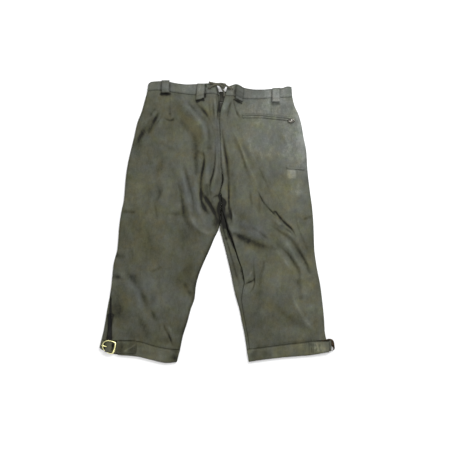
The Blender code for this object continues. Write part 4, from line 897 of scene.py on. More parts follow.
def warmth_at(x, y):
    """Cooler above zero, warmer below: the hide's own hue patches, painted bluish sheen on what stands
    out and along lit ridges, and warmer painted shade in hollows and beside folds.
    """
    warmth = sum(cooler * oval(x, y, *place) for _, *place, _, cooler in PATCHES)
    warmth = warmth + np.clip(CAVITY_TINT * standing_out(x, y, TINT_REACH), *TINT_LIMITS)
    return warmth + sum_of_folds(x, y, [line for _, *line in TINTED_LINES])


def tone_of(x, y):
    """The tone attribute that the leathers read: shade, warmth and the flesh side's shade, which carry
    painted shade and highlight, painted sheen, and painted shade on the flesh side.
    """
    x, y = np.broadcast_arrays(x, y)
    shade = shade_field(x, y)
    return np.stack([shade, warmth_field(x, y), shade], axis=-1)


height_field = Field(top_height, FIELD_STEP)
shade_field = Field(shade_at, FIELD_STEP)
warmth_field = Field(warmth_at, TINT_STEP)


# ------------------------------------------------------------------------- materials

def shader_nodes(name, roughness, metallic=0.0):
    made = bpy.data.materials.new(name)
    made.use_nodes = True
    shader = made.node_tree.nodes["Principled BSDF"]
    shader.inputs["Roughness"].default_value = roughness
    shader.inputs["Metallic"].default_value = metallic
    return made, made.node_tree, shader


def add_node(tree, kind, settings=(), **inputs):
    """A node, with its settings and with its inputs given a value or linked to an output."""
    node = tree.nodes.new(kind)
    for key, value in dict(settings).items():
        setattr(node, key, value)
    for key, value in inputs.items():
        socket = node.inputs[int(key[1:])] if key[0] == "n" and key[1:].isdigit() \
            else node.inputs[key.replace("_", " ")]
        if isinstance(value, bpy.types.NodeSocket):
            tree.links.new(value, socket)
        else:
            socket.default_value = value
    return node


def object_place(tree):
    return add_node(tree, "ShaderNodeTexCoord").outputs["Object"]


def tone_parts(tree):
    """The tone attribute's three values."""
    tone = add_node(tree, "ShaderNodeAttribute", {"attribute_name": "tone"})
    return add_node(tree, "ShaderNodeSeparateXYZ", Vector=tone.outputs["Vector"]).outputs


def mapped(tree, place, **inputs):
    return add_node(tree, "ShaderNodeMapping", Vector=place, **inputs).outputs["Vector"]


def noise_value(tree, place, scale, detail, rough, distortion=0.0):
    return add_node(tree, "ShaderNodeTexNoise", Vector=place, Scale=scale, Detail=detail,
                    Roughness=rough, Distortion=distortion).outputs["Fac"]


def maths(tree, operation, a, b, clamp=False):
    return add_node(tree, "ShaderNodeMath", {"operation": operation, "use_clamp": clamp},
                    n0=a, n1=b).outputs[0]


def add_noise(tree, value, fac, strength):
    """The value, moved up and down by a noise times its strength."""
    swing = maths(tree, "MULTIPLY", maths(tree, "SUBTRACT", fac, 0.5), strength)
    return maths(tree, "ADD", value, swing)


def ramp(tree, fac, stops):
    """A colour ramp through (position, colour)."""
    node = add_node(tree, "ShaderNodeValToRGB", Fac=fac)
    elements = node.color_ramp.elements
    while len(elements) < len(stops):
        elements.new(0.5)
    for element, (position, colour) in zip(elements, stops):
        element.position = position
        element.color = (*colour, 1.0)
    return node.outputs["Color"]


def dull_by(tree, shader, fac, least, most):
    """Roughness from least to most as the noise goes from 0.3 to 0.7."""
    dull = add_node(tree, "ShaderNodeMapRange", Value=fac, n1=0.3, n2=0.7, n3=least, n4=most)
    tree.links.new(dull.outputs["Result"], shader.inputs["Roughness"])


def add_bump(tree, shader, height, distance, strength):
    """A bump on top of the one that the shader may have."""
    bump = add_node(tree, "ShaderNodeBump", Height=height, Distance=distance, Strength=strength)
    for before in tuple(shader.inputs["Normal"].links):
        tree.links.new(before.from_socket, bump.inputs["Normal"])
    tree.links.new(bump.outputs["Normal"], shader.inputs["Normal"])


def leather(name, shades, roughness, grain=1.0):
    """Smooth hide: mottled tone, soft broad creasing, fine wrinkles and pores."""
    made, tree, shader = shader_nodes(name, roughness)
    shader.inputs["Specular IOR Level"].default_value = 0.16
    place, tone = object_place(tree), tone_parts(tree)
    stretched = mapped(tree, place, Scale=DRAWN_OUT)
    # The tone's first value brings the painted shade and painted highlights into the colour, with the
    # hide's own patches.
    shade = tone["X"]
    for mottling in (CLOUDS, BLOTCHES, STREAKS, SPECKS):
        strength, drawn_out, *settings = mottling
        fac = noise_value(tree, stretched if drawn_out else place, *settings)
        shade = add_noise(tree, shade, fac, strength)
        if mottling is BLOTCHES:
            dull_by(tree, shader, fac, roughness - 0.07, roughness + 0.08)
    colour = ramp(tree, maths(tree, "ADD", shade, 0.5, clamp=True), shades)

    hue = noise_value(tree, mapped(tree, place, Location=HUE_PLACE), *HUE_NOISE)
    # The tone's second value brings painted bluish sheen and warmer painted shade into the tints, with
    # the hide's own hue.
    warmth = maths(tree, "MULTIPLY", tone["Y"], WARMTH_STRENGTH)
    warmth = maths(tree, "ADD", add_noise(tree, warmth, hue, WARMTH_CLOUDS), 0.5, clamp=True)
    earth = noise_value(tree, mapped(tree, place, Location=EARTH_PLACE), *EARTH_NOISE)
    for fac, stops in ((warmth, [(0.1, WARM_TINT), (0.5, WHITE), (0.9, COOL_TINT)]),
                       (earth, [(0.34, OLIVE_TINT), (0.5, WHITE), (0.66, BROWN_TINT)])):
        colour = add_node(tree, "ShaderNodeVectorMath", {"operation": "MULTIPLY"}, n0=colour,
                          n1=ramp(tree, fac, stops)).outputs["Vector"]
    tree.links.new(colour, shader.inputs["Base Color"])

    pores = add_node(tree, "ShaderNodeTexVoronoi", {"feature": "SMOOTH_F1"}, Vector=place,
                     Scale=PORES_SCALE, Smoothness=0.6).outputs["Distance"]
    add_bump(tree, shader, noise_value(tree, place, *CREASING), *CREASING_BUMP)
    for height, (distance, strength) in ((noise_value(tree, place, *WRINKLES), WRINKLES_BUMP),
                                         (pores, PORES_BUMP)):
        add_bump(tree, shader, height, distance, strength * grain)
    return made


def fibres(name, roughness, colour, dark, *settings):
    """A rough material whose noise takes it down to a dark share of its colour."""
    made, tree, shader = shader_nodes(name, roughness)
    nap = noise_value(tree, object_place(tree), *settings)
    colours = ramp(tree, nap, [(0.3, [dark * c for c in colour]), (0.7, colour)])
    tree.links.new(colours, shader.inputs["Base Color"])
    return made, tree, shader, nap, colours


def suede(name, colour):
    """The rough flesh side of the hide, and its cut edges."""
    made, tree, shader, nap, colours = fibres(name, 0.92, colour, 0.6, 900.0, 4.0, 0.7)
    # The flesh side is darkened by the painted shade in the tone's third value, as in the vent, the fork
    # and the notch.
    share = maths(tree, "ADD", tone_parts(tree)["Z"], 1.0, clamp=True)
    shaded = add_node(tree, "ShaderNodeVectorMath", {"operation": "SCALE"}, n0=colours, Scale=share)
    tree.links.new(shaded.outputs["Vector"], shader.inputs["Base Color"])
    add_bump(tree, shader, nap, 0.0005, 0.5)
    return made


def thread(name, colour):
    return fibres(name, 0.72, colour, 0.65, 1500.0, 2.0, 0.5)[0]


def metal(name, bright, tarnish, roughness, tarnish_share):
    """Worn metal: bright where it is rubbed, with duller patches and fine scratches."""
    made, tree, shader = shader_nodes(name, roughness, metallic=1.0)
    place = object_place(tree)
    patches = noise_value(tree, place, 190.0, 5.0, 0.6)
    colours = ramp(tree, patches, [(tarnish_share - 0.14, tarnish), (tarnish_share + 0.1, bright)])
    tree.links.new(colours, shader.inputs["Base Color"])
    dull_by(tree, shader, patches, roughness + 0.14, roughness - 0.06)
    add_bump(tree, shader, noise_value(tree, place, 2400.0, 2.0, 0.5), 0.0001, 0.12)
    return made


FINISHES = {
    "leather": leather("leather", HIDE_SHADES, 0.58),
    "leather_trim": leather("leather_trim", HIDE_SHADES, 0.56, grain=0.8),
    "lace_leather": leather("lace_leather", LACE_SHADES, 0.55, grain=0.6),
    "suede": suede("suede", SUEDE_COLOUR),
    "thread": thread("thread", THREAD_COLOUR),
    "brass": metal("brass", (0.84, 0.80, 0.40), (0.46, 0.42, 0.15), 0.26, 0.42),
    # The right buckle's metal: the left's brass made dark, as painted shade and tarnish.
    "shaded_tarnished_brass": metal("shaded_tarnished_brass", (0.075, 0.052, 0.030), (0.018, 0.014, 0.010), 0.46, 0.55),
    "dark_metal": metal("dark_metal", (0.15, 0.14, 0.12), (0.04, 0.038, 0.034), 0.42, 0.50),
    "nickel": metal("nickel", (0.46, 0.45, 0.41), (0.20, 0.19, 0.16), 0.30, 0.42)}


# ----------------------------------------------------------------------- scene set-up

def link(made):
    """Puts an object in the scene."""
    bpy.context.scene.collection.objects.link(made)
    return made


def add_object(name, data, *finishes, replaces=None):
    """Links a piece that rides on the body, and hides the CAD nodes that it stands for.

    These are the node of its own name, unless replaces gives others, or none.
    """
    made = bpy.data.objects.new(name, data)
    for finish in finishes:
        data.materials.append(FINISHES[finish])
    link(made)
    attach(made, "root")
    replaces = [name] if replaces is None else replaces
    if replaces:
        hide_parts(*replaces)
    return made


def build_camera():
    """Straight above the breeches, turned so that the waist is at the top."""
    data = bpy.data.cameras.new("Camera")
    data.sensor_width = 36.0
    data.angle = 2 * atan(0.5 * VIEW_WIDTH / CAMERA_HEIGHT)
    data.clip_start, data.clip_end = 0.05, 20.0
    camera = link(bpy.data.objects.new("Camera", data))
    camera.location = (*VIEW_CENTRE, CAMERA_HEIGHT)
    bpy.context.scene.camera = camera


def add_light(name, place, size, power, colour):
    data = bpy.data.lights.new(name, "AREA")
    data.shape = "DISK"
    data.size, data.energy, data.color = size, power, colour
    light = link(bpy.data.objects.new(name, data))
    light.location = place
    light.rotation_euler = (-Vector(place)).to_track_quat("-Z", "Y").to_euler()


def build_stage():
    half = FLOOR_HALF
    mesh = bpy.data.meshes.new("floor")
    mesh.from_pydata([(x, y, FLOOR_Z) for x, y in
                      ((-half, -half), (half, -half), (half, half), (-half, half))],
                     [], [(0, 1, 2, 3)])
    made, _, shader = shader_nodes("floor", 0.9)
    shader.inputs["Base Color"].default_value = FLOOR_COLOUR
    shader.inputs["Specular IOR Level"].default_value = 0.1
    mesh.materials.append(made)
    link(bpy.data.objects.new("floor", mesh))
    world = bpy.data.worlds.new("studio")
    world.use_nodes = True
    sky = world.node_tree.nodes["Background"]
    sky.inputs["Color"].default_value = (*WORLD_COLOUR, 1.0)
    sky.inputs["Strength"].default_value = WORLD_STRENGTH
    bpy.context.scene.world = world
    for light in LIGHTS:
        add_light(*light)
    view = bpy.context.scene.view_settings
    view.view_transform, view.look = "Standard", "None"
    view.exposure, view.gamma = 0.0, 1.0


# ------------------------------------------------------------------------ mesh making

def new_mesh(name, places, faces, tone=None, merge=False):
    """A smooth mesh from places in millimetres, with the tone that the leathers read."""
    mesh = bpy.data.meshes.new(name)
    mesh.from_pydata((np.reshape(places, (-1, 3)) * MM).tolist(), [], faces)
    if tone is not None:
        layer = mesh.attributes.new("tone", "FLOAT_VECTOR", "POINT")
        layer.data.foreach_set("vector", tone.reshape(-1).astype(np.float32))
    if merge:
        bm = bmesh.new()
        bm.from_mesh(mesh)
        bmesh.ops.remove_doubles(bm, verts=bm.verts, dist=0.01 * MM)
        bm.to_mesh(mesh)
        bm.free()
    mesh.shade_smooth()
    return mesh


def ring_faces(rings, sides, closed=False, capped=False):
    """Faces between rings of places: once round, or with an end face on each end."""
    faces = []
    for i in range(rings if closed else rings - 1):
        a, b = i * sides, (i + 1) % rings * sides
        faces += [(a + j, a + (j + 1) % sides, b + (j + 1) % sides, b + j) for j in range(sides)]
    if capped:
        faces.append(tuple(reversed(range(sides))))
        faces.append(tuple(range((rings - 1) * sides, rings * sides)))
    return faces


def sheet(name, grid, tone, wall, finish="leather_trim"):
    """A sheet of leather through rows of places, with its grain side out.

    The rows run to +Y, and go to +X where it faces up. Its wall grows inwards.
    """
    index = np.arange(grid.shape[0] * grid.shape[1]).reshape(grid.shape[:2])
    faces = np.stack([index[:-1, :-1], index[:-1, 1:], index[1:, 1:], index[1:, :-1]], axis=-1)
    mesh = new_mesh(name, grid, faces.reshape(-1, 4).tolist(), tone, merge=True)
    made = add_object(name, mesh, finish, "suede")
    solidify = made.modifiers.new("Leather", "SOLIDIFY")
    solidify.thickness = wall * MM
    solidify.offset = -1.0
    solidify.material_offset = 1
    solidify.use_quality_normals = True
    return made


def sweep(name, path, half_width, half_height, finish, cyclic=False, sides=14, square=1.0,
          replaces=None):
    """A wire along a path. Its section may change: half-width level, half-height upright."""
    path = np.asarray(path, dtype=float)
    run = np.gradient(path, axis=0)
    if cyclic:
        run = np.roll(path, -1, axis=0) - np.roll(path, 1, axis=0)
    run = unit(run)
    aside = unit(np.cross(run, [0.0, 0.0, 1.0]))
    upright = np.cross(aside, run)
    turn = np.arange(sides) * 2 * np.pi / sides
    level, high = (np.sign(v) * np.abs(v) ** square for v in (np.cos(turn), np.sin(turn)))
    half_width, half_height = (np.broadcast_to(half, len(path))[:, None, None]
                               for half in (half_width, half_height))
    rings = (path[:, None] + half_width * level[None, :, None] * aside[:, None]
             + half_height * high[None, :, None] * upright[:, None])
    # Turned over: a side face from its first corner on, to split along the same diagonal.
    faces = [face[:1] + face[:0:-1] if len(face) == 4 else face[::-1]
             for face in ring_faces(len(path), sides, cyclic, not cyclic)]
    return add_object(name, new_mesh(name, rings, faces), finish, replaces=replaces)


def turned(name, profile, place, finish, radius=1.0, height=1.0, squash=1.0, replaces=None):
    """A ring or a knob: a profile of (radius, height) from outside to inside, turned."""
    turns = np.arange(TURNED_STEPS) * 2 * np.pi / TURNED_STEPS
    rings = np.array([[(r * radius * cos(turn), squash * r * radius * sin(turn), z * height)
                       for turn in turns] for r, z in profile]) + np.array(place)
    mesh = new_mesh(name, rings, ring_faces(len(profile), TURNED_STEPS), merge=True)
    return add_object(name, mesh, finish, replaces=replaces)


# --------------------------------------------------------------------------- stitches

def stitch_shape():
    """One stitch along X: a short thread whose ends dip in."""
    half = [(1.0, 0.35, -0.9), (0.86, 0.85, -0.25), (0.45, 1.0, 0.2)]      # along, size, lift
    rings = [(-along, size, lift) for along, size, lift in half] + [(0.0, 1.0, 0.32)] + half[::-1]
    turns = np.arange(STITCH_SIDES) * 2 * np.pi / STITCH_SIDES
    places = [(STITCH_LENGTH * along, THREAD * size * cos(turn), THREAD * (size * sin(turn) + lift))
              for along, size, lift in rings for turn in turns]
    return 0.5 * np.array(places), ring_faces(len(rings), STITCH_SIDES, capped=True)


def add_stitches(name, lines, made, upper=True):
    """Thread along lines of x, y on the piece's upper or lower face."""
    surface = BVHTree.FromObject(made, bpy.context.evaluated_depsgraph_get())
    shape, shape_faces = stitch_shape()
    toward = Vector((0.0, 0.0, -1.0 if upper else 1.0))
    places, faces = [], []
    for line in lines:
        path = flowing_line(line, STITCH_PITCH)
        run = np.gradient(path, axis=0)
        for (x, y), (dx, dy) in zip(path[:-1] + 0.5 * np.diff(path, axis=0), run):
            start = Vector((x * MM, y * MM, 0.0)) - toward * 0.2
            spot, normal, _, _ = surface.ray_cast(start, toward)
            if spot is None or normal.dot(toward) > -0.3:
                continue
            along = Vector((dx, dy, 0.0))
            along = (along - normal * along.dot(normal)).normalized()
            turn = Matrix((along, normal.cross(along), normal)).transposed()
            spot = spot / MM - (0.0 if upper else UNDERSIDE_SINK) * normal
            faces += [tuple(v + len(places) for v in face) for face in shape_faces]
            places += (shape @ np.array(turn).T + np.array(spot)).tolist()
    add_object(name, new_mesh(name, places, faces), "thread", replaces=())


def sew_edges(name, made, x_from, x_to, low, high, upper=True):
    """Stitch lines along a band's lower and upper edge, whose y is given by x."""
    x = np.linspace(x_from, x_to, 24)
    add_stitches(name, [np.c_[x, low(x) + STITCH_IN], np.c_[x, high(x) - STITCH_IN]], made, upper)


# ------------------------------------------------------------------------ the panels

def panel(name, grid, tone, reverse):
    """A panel's sheet. Its first and last row are drawn in, which leaves its seams open."""
    grid[0, :, 1] += HALF_GAP
    grid[-1, :, 1] -= HALF_GAP
    if reverse:
        grid, tone = grid[:, ::-1], tone[:, ::-1]
    return sheet(name, grid, tone, LEATHER, "leather")


def build_back(half):
    y_inner, y_outer, width, points = half.rows("back")
    inner_wrap, outer_wrap = half.inseam_back(y_inner), half.vent_back(y_outer)
    start = inner_wrap + np.where(inner_wrap > 0, HALF_GAP, 0.0)
    end = width - outer_wrap - np.where(outer_wrap > 0, HALF_GAP, 0.0)
    distance = across(start, end, BACK_COLUMNS)
    x, y = points(distance)
    closed = closure(y_inner)
    from_edge = np.minimum(np.where(closed > 0, distance, width), width - distance)
    height = edge_height(x, y, from_edge) + relief(x, y)

    from_seam = distance - start
    joined = (1 - closed) * smooth_step((NOTCH_FOOT_Y - y) / 8.0)
    height += joined * along_edge(from_seam, *SEAM_GROOVE)
    if half.side == "left":
        allowance = smooth_step(from_seam / 1.2) * smooth_step((ALLOWANCE_WIDTH - from_seam) / 1.4)
        height += joined * ALLOWANCE * allowance
    rolled = closed * smooth_step(inner_wrap / ROLLED_WRAP)
    rolled = rolled * smooth_step((y - ROLLED_FOOT_Y) / ROLLED_BLEND)
    height += rolled * along_edge(from_seam, *ROLLED_EDGE)
    for wrap, drop, distance_in in ((inner_wrap, SEWN_DROP, from_seam),
                                    (outer_wrap, VENT_DROP, end - distance)):
        height -= drop * smooth_step(wrap / 4.0) * (1 - rounding(distance_in, DROP_ROUND))
    at_waist, at_hem = half.back_waist_y(x) - y, y - half.hem_y(x)
    height = mix(height, np.maximum(height, WAISTBAND_TOP - WAIST_TUCK),
                 np.exp(-at_waist / WAIST_TUCK_REACH))
    height += along_edge(at_waist, *WAIST_GROOVE)
    for from_cross_seam, stretched in ((at_waist, 3.2), (at_hem, 3.0)):
        puckers = relief(stretched * x, 0.6 * y)
        height += PUCKER * np.exp(-from_cross_seam / PUCKER_REACH) * puckers

    tip = EDGE_MID + 0.5 * EDGE_GAP
    inner = 1 - closed * (1 - rounding(distance, EDGE_ROUND))
    z = tip + (height - tip) * inner * rounding(width - distance, EDGE_ROUND)
    tone = tone_of(x, y)
    # Painted shade along the centre seam, the waist seam and the panel's edges.
    tone[..., 0] += (joined * along_edge(from_seam, *SEAM_SHADE)
                     + along_edge(at_waist, *WAIST_SHADE)
                     + closed * along_edge(distance, *INNER_EDGE_SHADE)
                     + along_edge(width - distance, *OUTER_EDGE_SHADE))
    return panel(f"back_{half.side}", np.stack([x, y, z], axis=-1), tone, half.side == "left")


def build_front(half):
    """The hidden panel, with the strips of it that come over the edges on to the top."""
    y_inner, y_outer, width, points = half.rows("front")
    tip = EDGE_MID - 0.5 * EDGE_GAP
    closed = closure(y_inner)
    under = across(0 * width, width, FRONT_COLUMNS)
    x, y = points(under)
    rise = tip * (closed * (1 - rounding(under, EDGE_ROUND))
                  + 1 - rounding(width - under, EDGE_ROUND))
    seam = (1 - closed) * along_edge(under, 0.7, 1.4)
    grid = np.stack([x, y, np.maximum(rise, seam)], axis=-1)
    # Only the painted shade is kept, for the flesh side that shows in the gaps.
    tone = tone_of(x, y) * (0.0, 0.0, 1.0)
    inner_edge = grid[:, :1]

    def over(wrap, from_edge):
        """The strip on top, from the edge inwards, as long as the wrap."""
        reach = np.maximum(wrap - HALF_GAP, 0.0)
        inward = reach * (np.arange(1, WRAP_COLUMNS + 1) / WRAP_COLUMNS) ** 1.6
        x, y = points(from_edge(inward))
        height = edge_height(x, y, inward) + relief(x, y) + along_edge(reach - inward, *WRAP_EDGE)
        z = tip + (height - tip) * rounding(inward, EDGE_ROUND)
        return np.stack([x, y, np.where(inward > 0, z, tip)], axis=-1), tone_of(x, y)

    if INSEAM_WRAP[half.side]:
        strip, strip_tone = over(half.inseam_front(y_inner) * closed, lambda inward: inward)
        strip = np.where(closed[..., None] < 1, inner_edge, strip)
        grid = np.concatenate([strip[:, ::-1], grid], axis=1)
        tone = np.concatenate([strip_tone[:, ::-1], tone], axis=1)
    if VENT_WRAP[half.side]:
        strip, strip_tone = over(half.vent_front(y_outer), lambda inward: width - inward)
        grid = np.concatenate([grid, strip], axis=1)
        tone = np.concatenate([tone, strip_tone], axis=1)
    return panel(f"front_{half.side}", grid, tone, half.side == "right")


# ------------------------------------------------------------------------- the bands

def stretch(start, end, level, folds, count=40):
    """x, z and the share of bend along one stretch of a band at a level.

    folds says whether the start and the end are folds, rounded to EDGE_MID.
    """
    length = abs(end - start)
    steps = edge_steps(BAND_ROUND)
    first = steps if folds[0] else np.array([0.0])
    last = length - steps[::-1] if folds[1] else np.array([length])
    distance = np.r_[first, np.linspace(first[-1], last[0], count + 1)[1:-1], last]
    bend = folds[0] * (1 - rounding(distance, BAND_ROUND))
    bend = bend + folds[1] * (1 - rounding(length - distance, BAND_ROUND))
    return start + np.sign(end - start) * distance, level + (EDGE_MID - level) * bend, bend


def band(name, stretches, wall, cooler):
    """A band from its stretches, in order along it.

    Each is (start, end, level, folds, y_low, y_high). start and end are x at the band's
    lower and upper edge, and y_low and y_high give its edges at any x.
    """
    rows, tones = [], []
    height = max(float(y_high(np.mean(start)) - y_low(np.mean(start)))
                 for start, _, _, _, y_low, y_high in stretches)
    for in_from_low in spaced(height, 2.2):
        up = in_from_low / height
        border = min(in_from_low, height - in_from_low)
        proud = bulge(border)
        parts, part_tones = [], []
        for start, end, level, folds, y_low, y_high in stretches:
            count = max(2, int(abs(end[0] - start[0]) / BAND_STEP))
            x, z, bend = stretch(mix(*start, up), mix(*end, up), level, folds, count)
            y = mix(y_low(x), y_high(x), up)
            if level > EDGE_MID:
                z = z + (proud + relief(x, y, 0.7)) * (1 - bend)
            else:
                z = z - min(proud, 0.0) * (1 - bend)
            # The band's own lighter and cooler tone, with painted shade along its edges.
            tone = tone_of(x, y) + (BAND_TONE + along_edge(border, *BAND_EDGE_SHADE), cooler, 0.0)
            shared = 1 if parts else 0           # the place that it has from the one before
            parts.append(np.c_[x, y, z][shared:])
            part_tones.append(tone[shared:])
        rows.append(np.concatenate(parts))
        tones.append(np.concatenate(part_tones))
    return sheet(name, np.array(rows), np.array(tones), wall)


def turned_round(one):
    """The same stretch of a band, from its end to its start."""
    start, end, level, folds, y_low, y_high = one
    return end, start, level, folds[::-1], y_low, y_high


def build_waistband(half):
    side, sign = half.side, half.sign
    top_edge = smooth_curve(WAIST_TOP[side])
    fold = [float(half.outer_x(half.waist_outer_y)), WAIST_TOP[side][half.out][0]]
    notch = [NOTCH_EDGE[side][0][1], WAIST_TOP[side][half.inn][0]]
    centre = [NOTCH_FRONT_X + sign * HALF_GAP] * 2
    side_height = float(top_edge(fold[1])) - half.waist_outer_y

    def back_seam(x):
        return half.back_waist_y(x) + HALF_GAP

    def front_seam(x):
        return half.front_waist_y(x) + HALF_GAP

    def front_top(x):
        near_fold = smooth_step(1 - np.abs(x - fold[0]) / SIDE_BLEND)
        return front_seam(x) + mix(WAISTBAND_HEIGHT, side_height, near_fold)

    back = (fold, notch, WAISTBAND_TOP, (1, 0), back_seam, top_edge)
    front = (fold, centre, 0.0, (1, 0), front_seam, front_top)
    stretches = [turned_round(front), back] if side == "left" else [turned_round(back), front]
    made = band(f"waistband_{side}", stretches, WAISTBAND_WALL, WAIST_COOL)
    sew_edges(f"stitches_waistband_{side}", made, fold[0] - sign * 4, notch[0] + sign * 3,
              back_seam, top_edge)
    sew_edges(f"stitches_front_waistband_{side}", made, fold[0] - sign * 6, centre[0] + sign * 3,
              front_seam, front_top, upper=False)


def build_knee_band(half):
    side, sign = half.side, half.sign
    bottom = smooth_curve(KNEE_BOTTOM[side])
    inner = [KNEE_BOTTOM[side][half.inn][0], half.hem_inner_x]
    back_end = [KNEE_BACK_END[side]] * 2

    def seam(x):
        return half.hem_y(x) - HALF_GAP

    back = (inner, back_end, KNEE_BAND_TOP, (1, 0), bottom, seam)
    if side == "left":
        outer = [KNEE_BOTTOM[side][half.out][0], half.hem_outer_x]
        front = (inner, outer, 0.0, (1, 1), bottom, seam)
        wrap = (outer, [x + KNEE_WRAP for x in outer], KNEE_BAND_TOP, (1, 0), bottom, seam)
        stretches = [turned_round(back), front, wrap]
    else:
        outer = [KNEE_FRONT_END] * 2
        front = (inner, outer, 0.0, (1, 0), bottom, seam)
        stretches = [turned_round(front), back]
    made = band(f"knee_band_{side}", stretches, KNEE_BAND_WALL, KNEE_COOL)
    sew_edges(f"stitches_knee_band_{side}", made, inner[1] + sign * 5, back_end[0] - sign * 3,
              bottom, seam)
    sew_edges(f"stitches_front_knee_band_{side}", made, inner[1] + sign * 6, outer[1] - sign * 6,
              bottom, seam, upper=False)


# ------------------------------------------------------------- straps, tabs, buckles

class Patch:
    """A flat piece of leather: its middle, size and turn, and its edges' slopes.

    The slopes are the lower and the upper edge's rise to the right, over a rectangle's.
    """

    def __init__(self, x, y, size_x, size_y, turn=0.0, slopes=(0.0, 0.0)):
        self.x, self.y, self.size_x, self.size_y = x, y, size_x, size_y
        self.turn, self.slopes = radians(turn), slopes

    def place(self, a, b):
        """x, y of the place a across and b up from the middle."""
        b = b + a * mix(*self.slopes, b / self.size_y + 0.5)
        return (self.x + a * cos(self.turn) - b * sin(self.turn),
                self.y + a * sin(self.turn) + b * cos(self.turn))

    def rectangle(self, inset):
        """The four sides of a line inside its edges: lower, right, upper, left."""
        half_x, half_y = 0.5 * self.size_x - inset, 0.5 * self.size_y - inset
        corners = [self.place(a * half_x, b * half_y)
                   for a, b in ((-1, -1), (1, -1), (1, 1), (-1, 1))]
        return [[corners[i], corners[(i + 1) % 4]] for i in range(4)]

    def build(self, name, wall, top_at, lighter, cooler):
        """top_at gives its upper face from x, y and the places in it."""
        a, b = np.meshgrid(spaced(self.size_x) - 0.5 * self.size_x,
                           spaced(self.size_y) - 0.5 * self.size_y)
        x, y = self.place(a, b)
        border = np.minimum(0.5 * self.size_x - np.abs(a), 0.5 * self.size_y - np.abs(b))
        z = top_at(x, y, a, b) + bulge(border, crown=0.25, groove=0.4, drop=0.8)
        tone = tone_of(x, y) + (lighter, cooler, 0.0)
        # Painted shade along the piece's edges.
        tone[..., 0] += along_edge(border, *PATCH_EDGE_SHADE)
        return sheet(name, np.stack([x, y, z], axis=-1), tone, wall)


def build_tab(side):
    start, end = TAB_ENDS[side]
    middle, low_slope = TAB_SHAPES[side]
    tab = Patch(0.5 * (start + end), middle, end - start, TAB_WIDTHS[side],
                slopes=(low_slope, 0.0))
    made = tab.build(f"buckle_tab_{side}", TAB_WALL,
                     lambda x, y, a, b: TAB_LEVEL + relief(x, y, 1.2) + 0.25 * np.cos(a / 9.0),
                     BAND_TONE, KNEE_COOL)
    sewn_x = mix(start, end, TAB_SEWN[side])
    lines = tab.rectangle(STITCH_IN)[0:3:2]
    lines += [[(x, middle - 12.0), (x, middle + 12.0)] for x in (sewn_x, sewn_x + 5.0)]
    add_stitches(f"stitches_buckle_tab_{side}", lines, made)


def build_left_strap():
    """The strap comes up through the buckle over its middle bar and goes under the rest."""
    x, y, _, turn = BUCKLES["left"]
    low, high = STRAP_SPANS["left"]
    start = KNEE_BOTTOM["left"][0][0] + KNEE_WRAP + STRAP_SEAM
    end = TAB_ENDS["left"][0] - SEAM_GAP
    strap = Patch(0.5 * (start + end), 0.5 * (low + high), end - start, high - low,
                  slopes=(STRAP_SLOPE, STRAP_SLOPE))

    def top_at(xs, ys, a, b):
        along = (xs - x) * cos(radians(turn)) + (ys - y) * sin(radians(turn))
        hump = smooth_step((along + 13.0) / 9.0) * smooth_step((14.0 - along) / 7.0)
        return KNEE_BAND_TOP + STRAP_HUMP * hump + relief(xs, ys, 0.5)
    made = strap.build("knee_strap_left", STRAP_WALL, top_at, STRAP_TONE, STRAP_COOL)
    add_stitches("stitches_knee_strap_left", strap.rectangle(STITCH_IN)[0:3:2], made)


def build_right_strap():
    """The strap goes round the edge of the knee, through the buckle."""
    low, high = STRAP_SPANS["right"]
    start, end = TAB_ENDS["right"][1] + SEAM_GAP, KNEE_FRONT_END + SEAM_GAP
    rows = []
    for in_from_low in spaced(high - low):
        proud = bulge(min(in_from_low, high - low - in_from_low))
        over_x, over_z, over_bend = stretch(start, STRAP_FOLD_X, TAB_LEVEL, (0, 1))
        under_x, under_z, under_bend = stretch(STRAP_FOLD_X, end, 0.0, (1, 0))
        x = np.r_[over_x, under_x[1:]]
        z = np.r_[over_z + proud * (1 - over_bend),
                  (under_z - min(proud, 0.0) * (1 - under_bend))[1:]]
        rows.append(np.c_[x, np.full_like(x, low + in_from_low), z])
    grid = np.array(rows)
    sheet("knee_strap_right", grid, tone_of(grid[..., 0], grid[..., 1]), STRAP_WALL)


def build_buckle(side):
    """A cast frame that is flat and wide along its bar, and its prong."""
    line = np.array(BUCKLE_LINES[side])
    line = np.r_[line, line[:1]]
    chord = lengths_along(line[:, :2])
    at = np.linspace(0.0, chord[-1], 121)[:-1]
    line = np.stack([np.interp(at, chord, column) for column in line.T])
    for _ in range(BUCKLE_SMOOTHING):
        line = 0.5 * line + 0.25 * (np.roll(line, 1, axis=1) + np.roll(line, -1, axis=1))
    x, y, wide, high = line
    centre_x, centre_y, level, turn = BUCKLES[side]
    # The right buckle is dark, as painted shade and tarnish on the same brass as the left's.
    metal = "brass" if side == "left" else "shaded_tarnished_brass"
    sweep(f"buckle_frame_{side}", np.c_[x, y, np.full_like(x, level)], wide, high, metal,
          cyclic=True, sides=16, square=0.8)

    start, end, lift, dip = PRONGS[side]
    share = np.linspace(0.0, 1.0, 14)
    along = mix(start, end, share) * (1.0 if side == "left" else -1.0)
    path = np.c_[centre_x + along * cos(radians(turn)), centre_y + along * sin(radians(turn)),
                 level + lift - dip * share ** 2]
    tip_share, tapered = PRONG_TIP
    radius = 0.5 * PRONG_WIRE * mix(tip_share, 1.0, smooth_step(share / tapered))
    sweep(f"buckle_prong_{side}", path, radius, radius, metal, sides=12)


# --------------------------------------------------- belt loops, eyelets and the lace

def seat_height(half, x, y):
    """The face that a piece at the waist lies on: the band's, or the panel's below it."""
    on_band = y > half.back_waist_y(x) - LOOP_STEP
    return np.where(on_band, WAISTBAND_TOP, top_height(x, y))


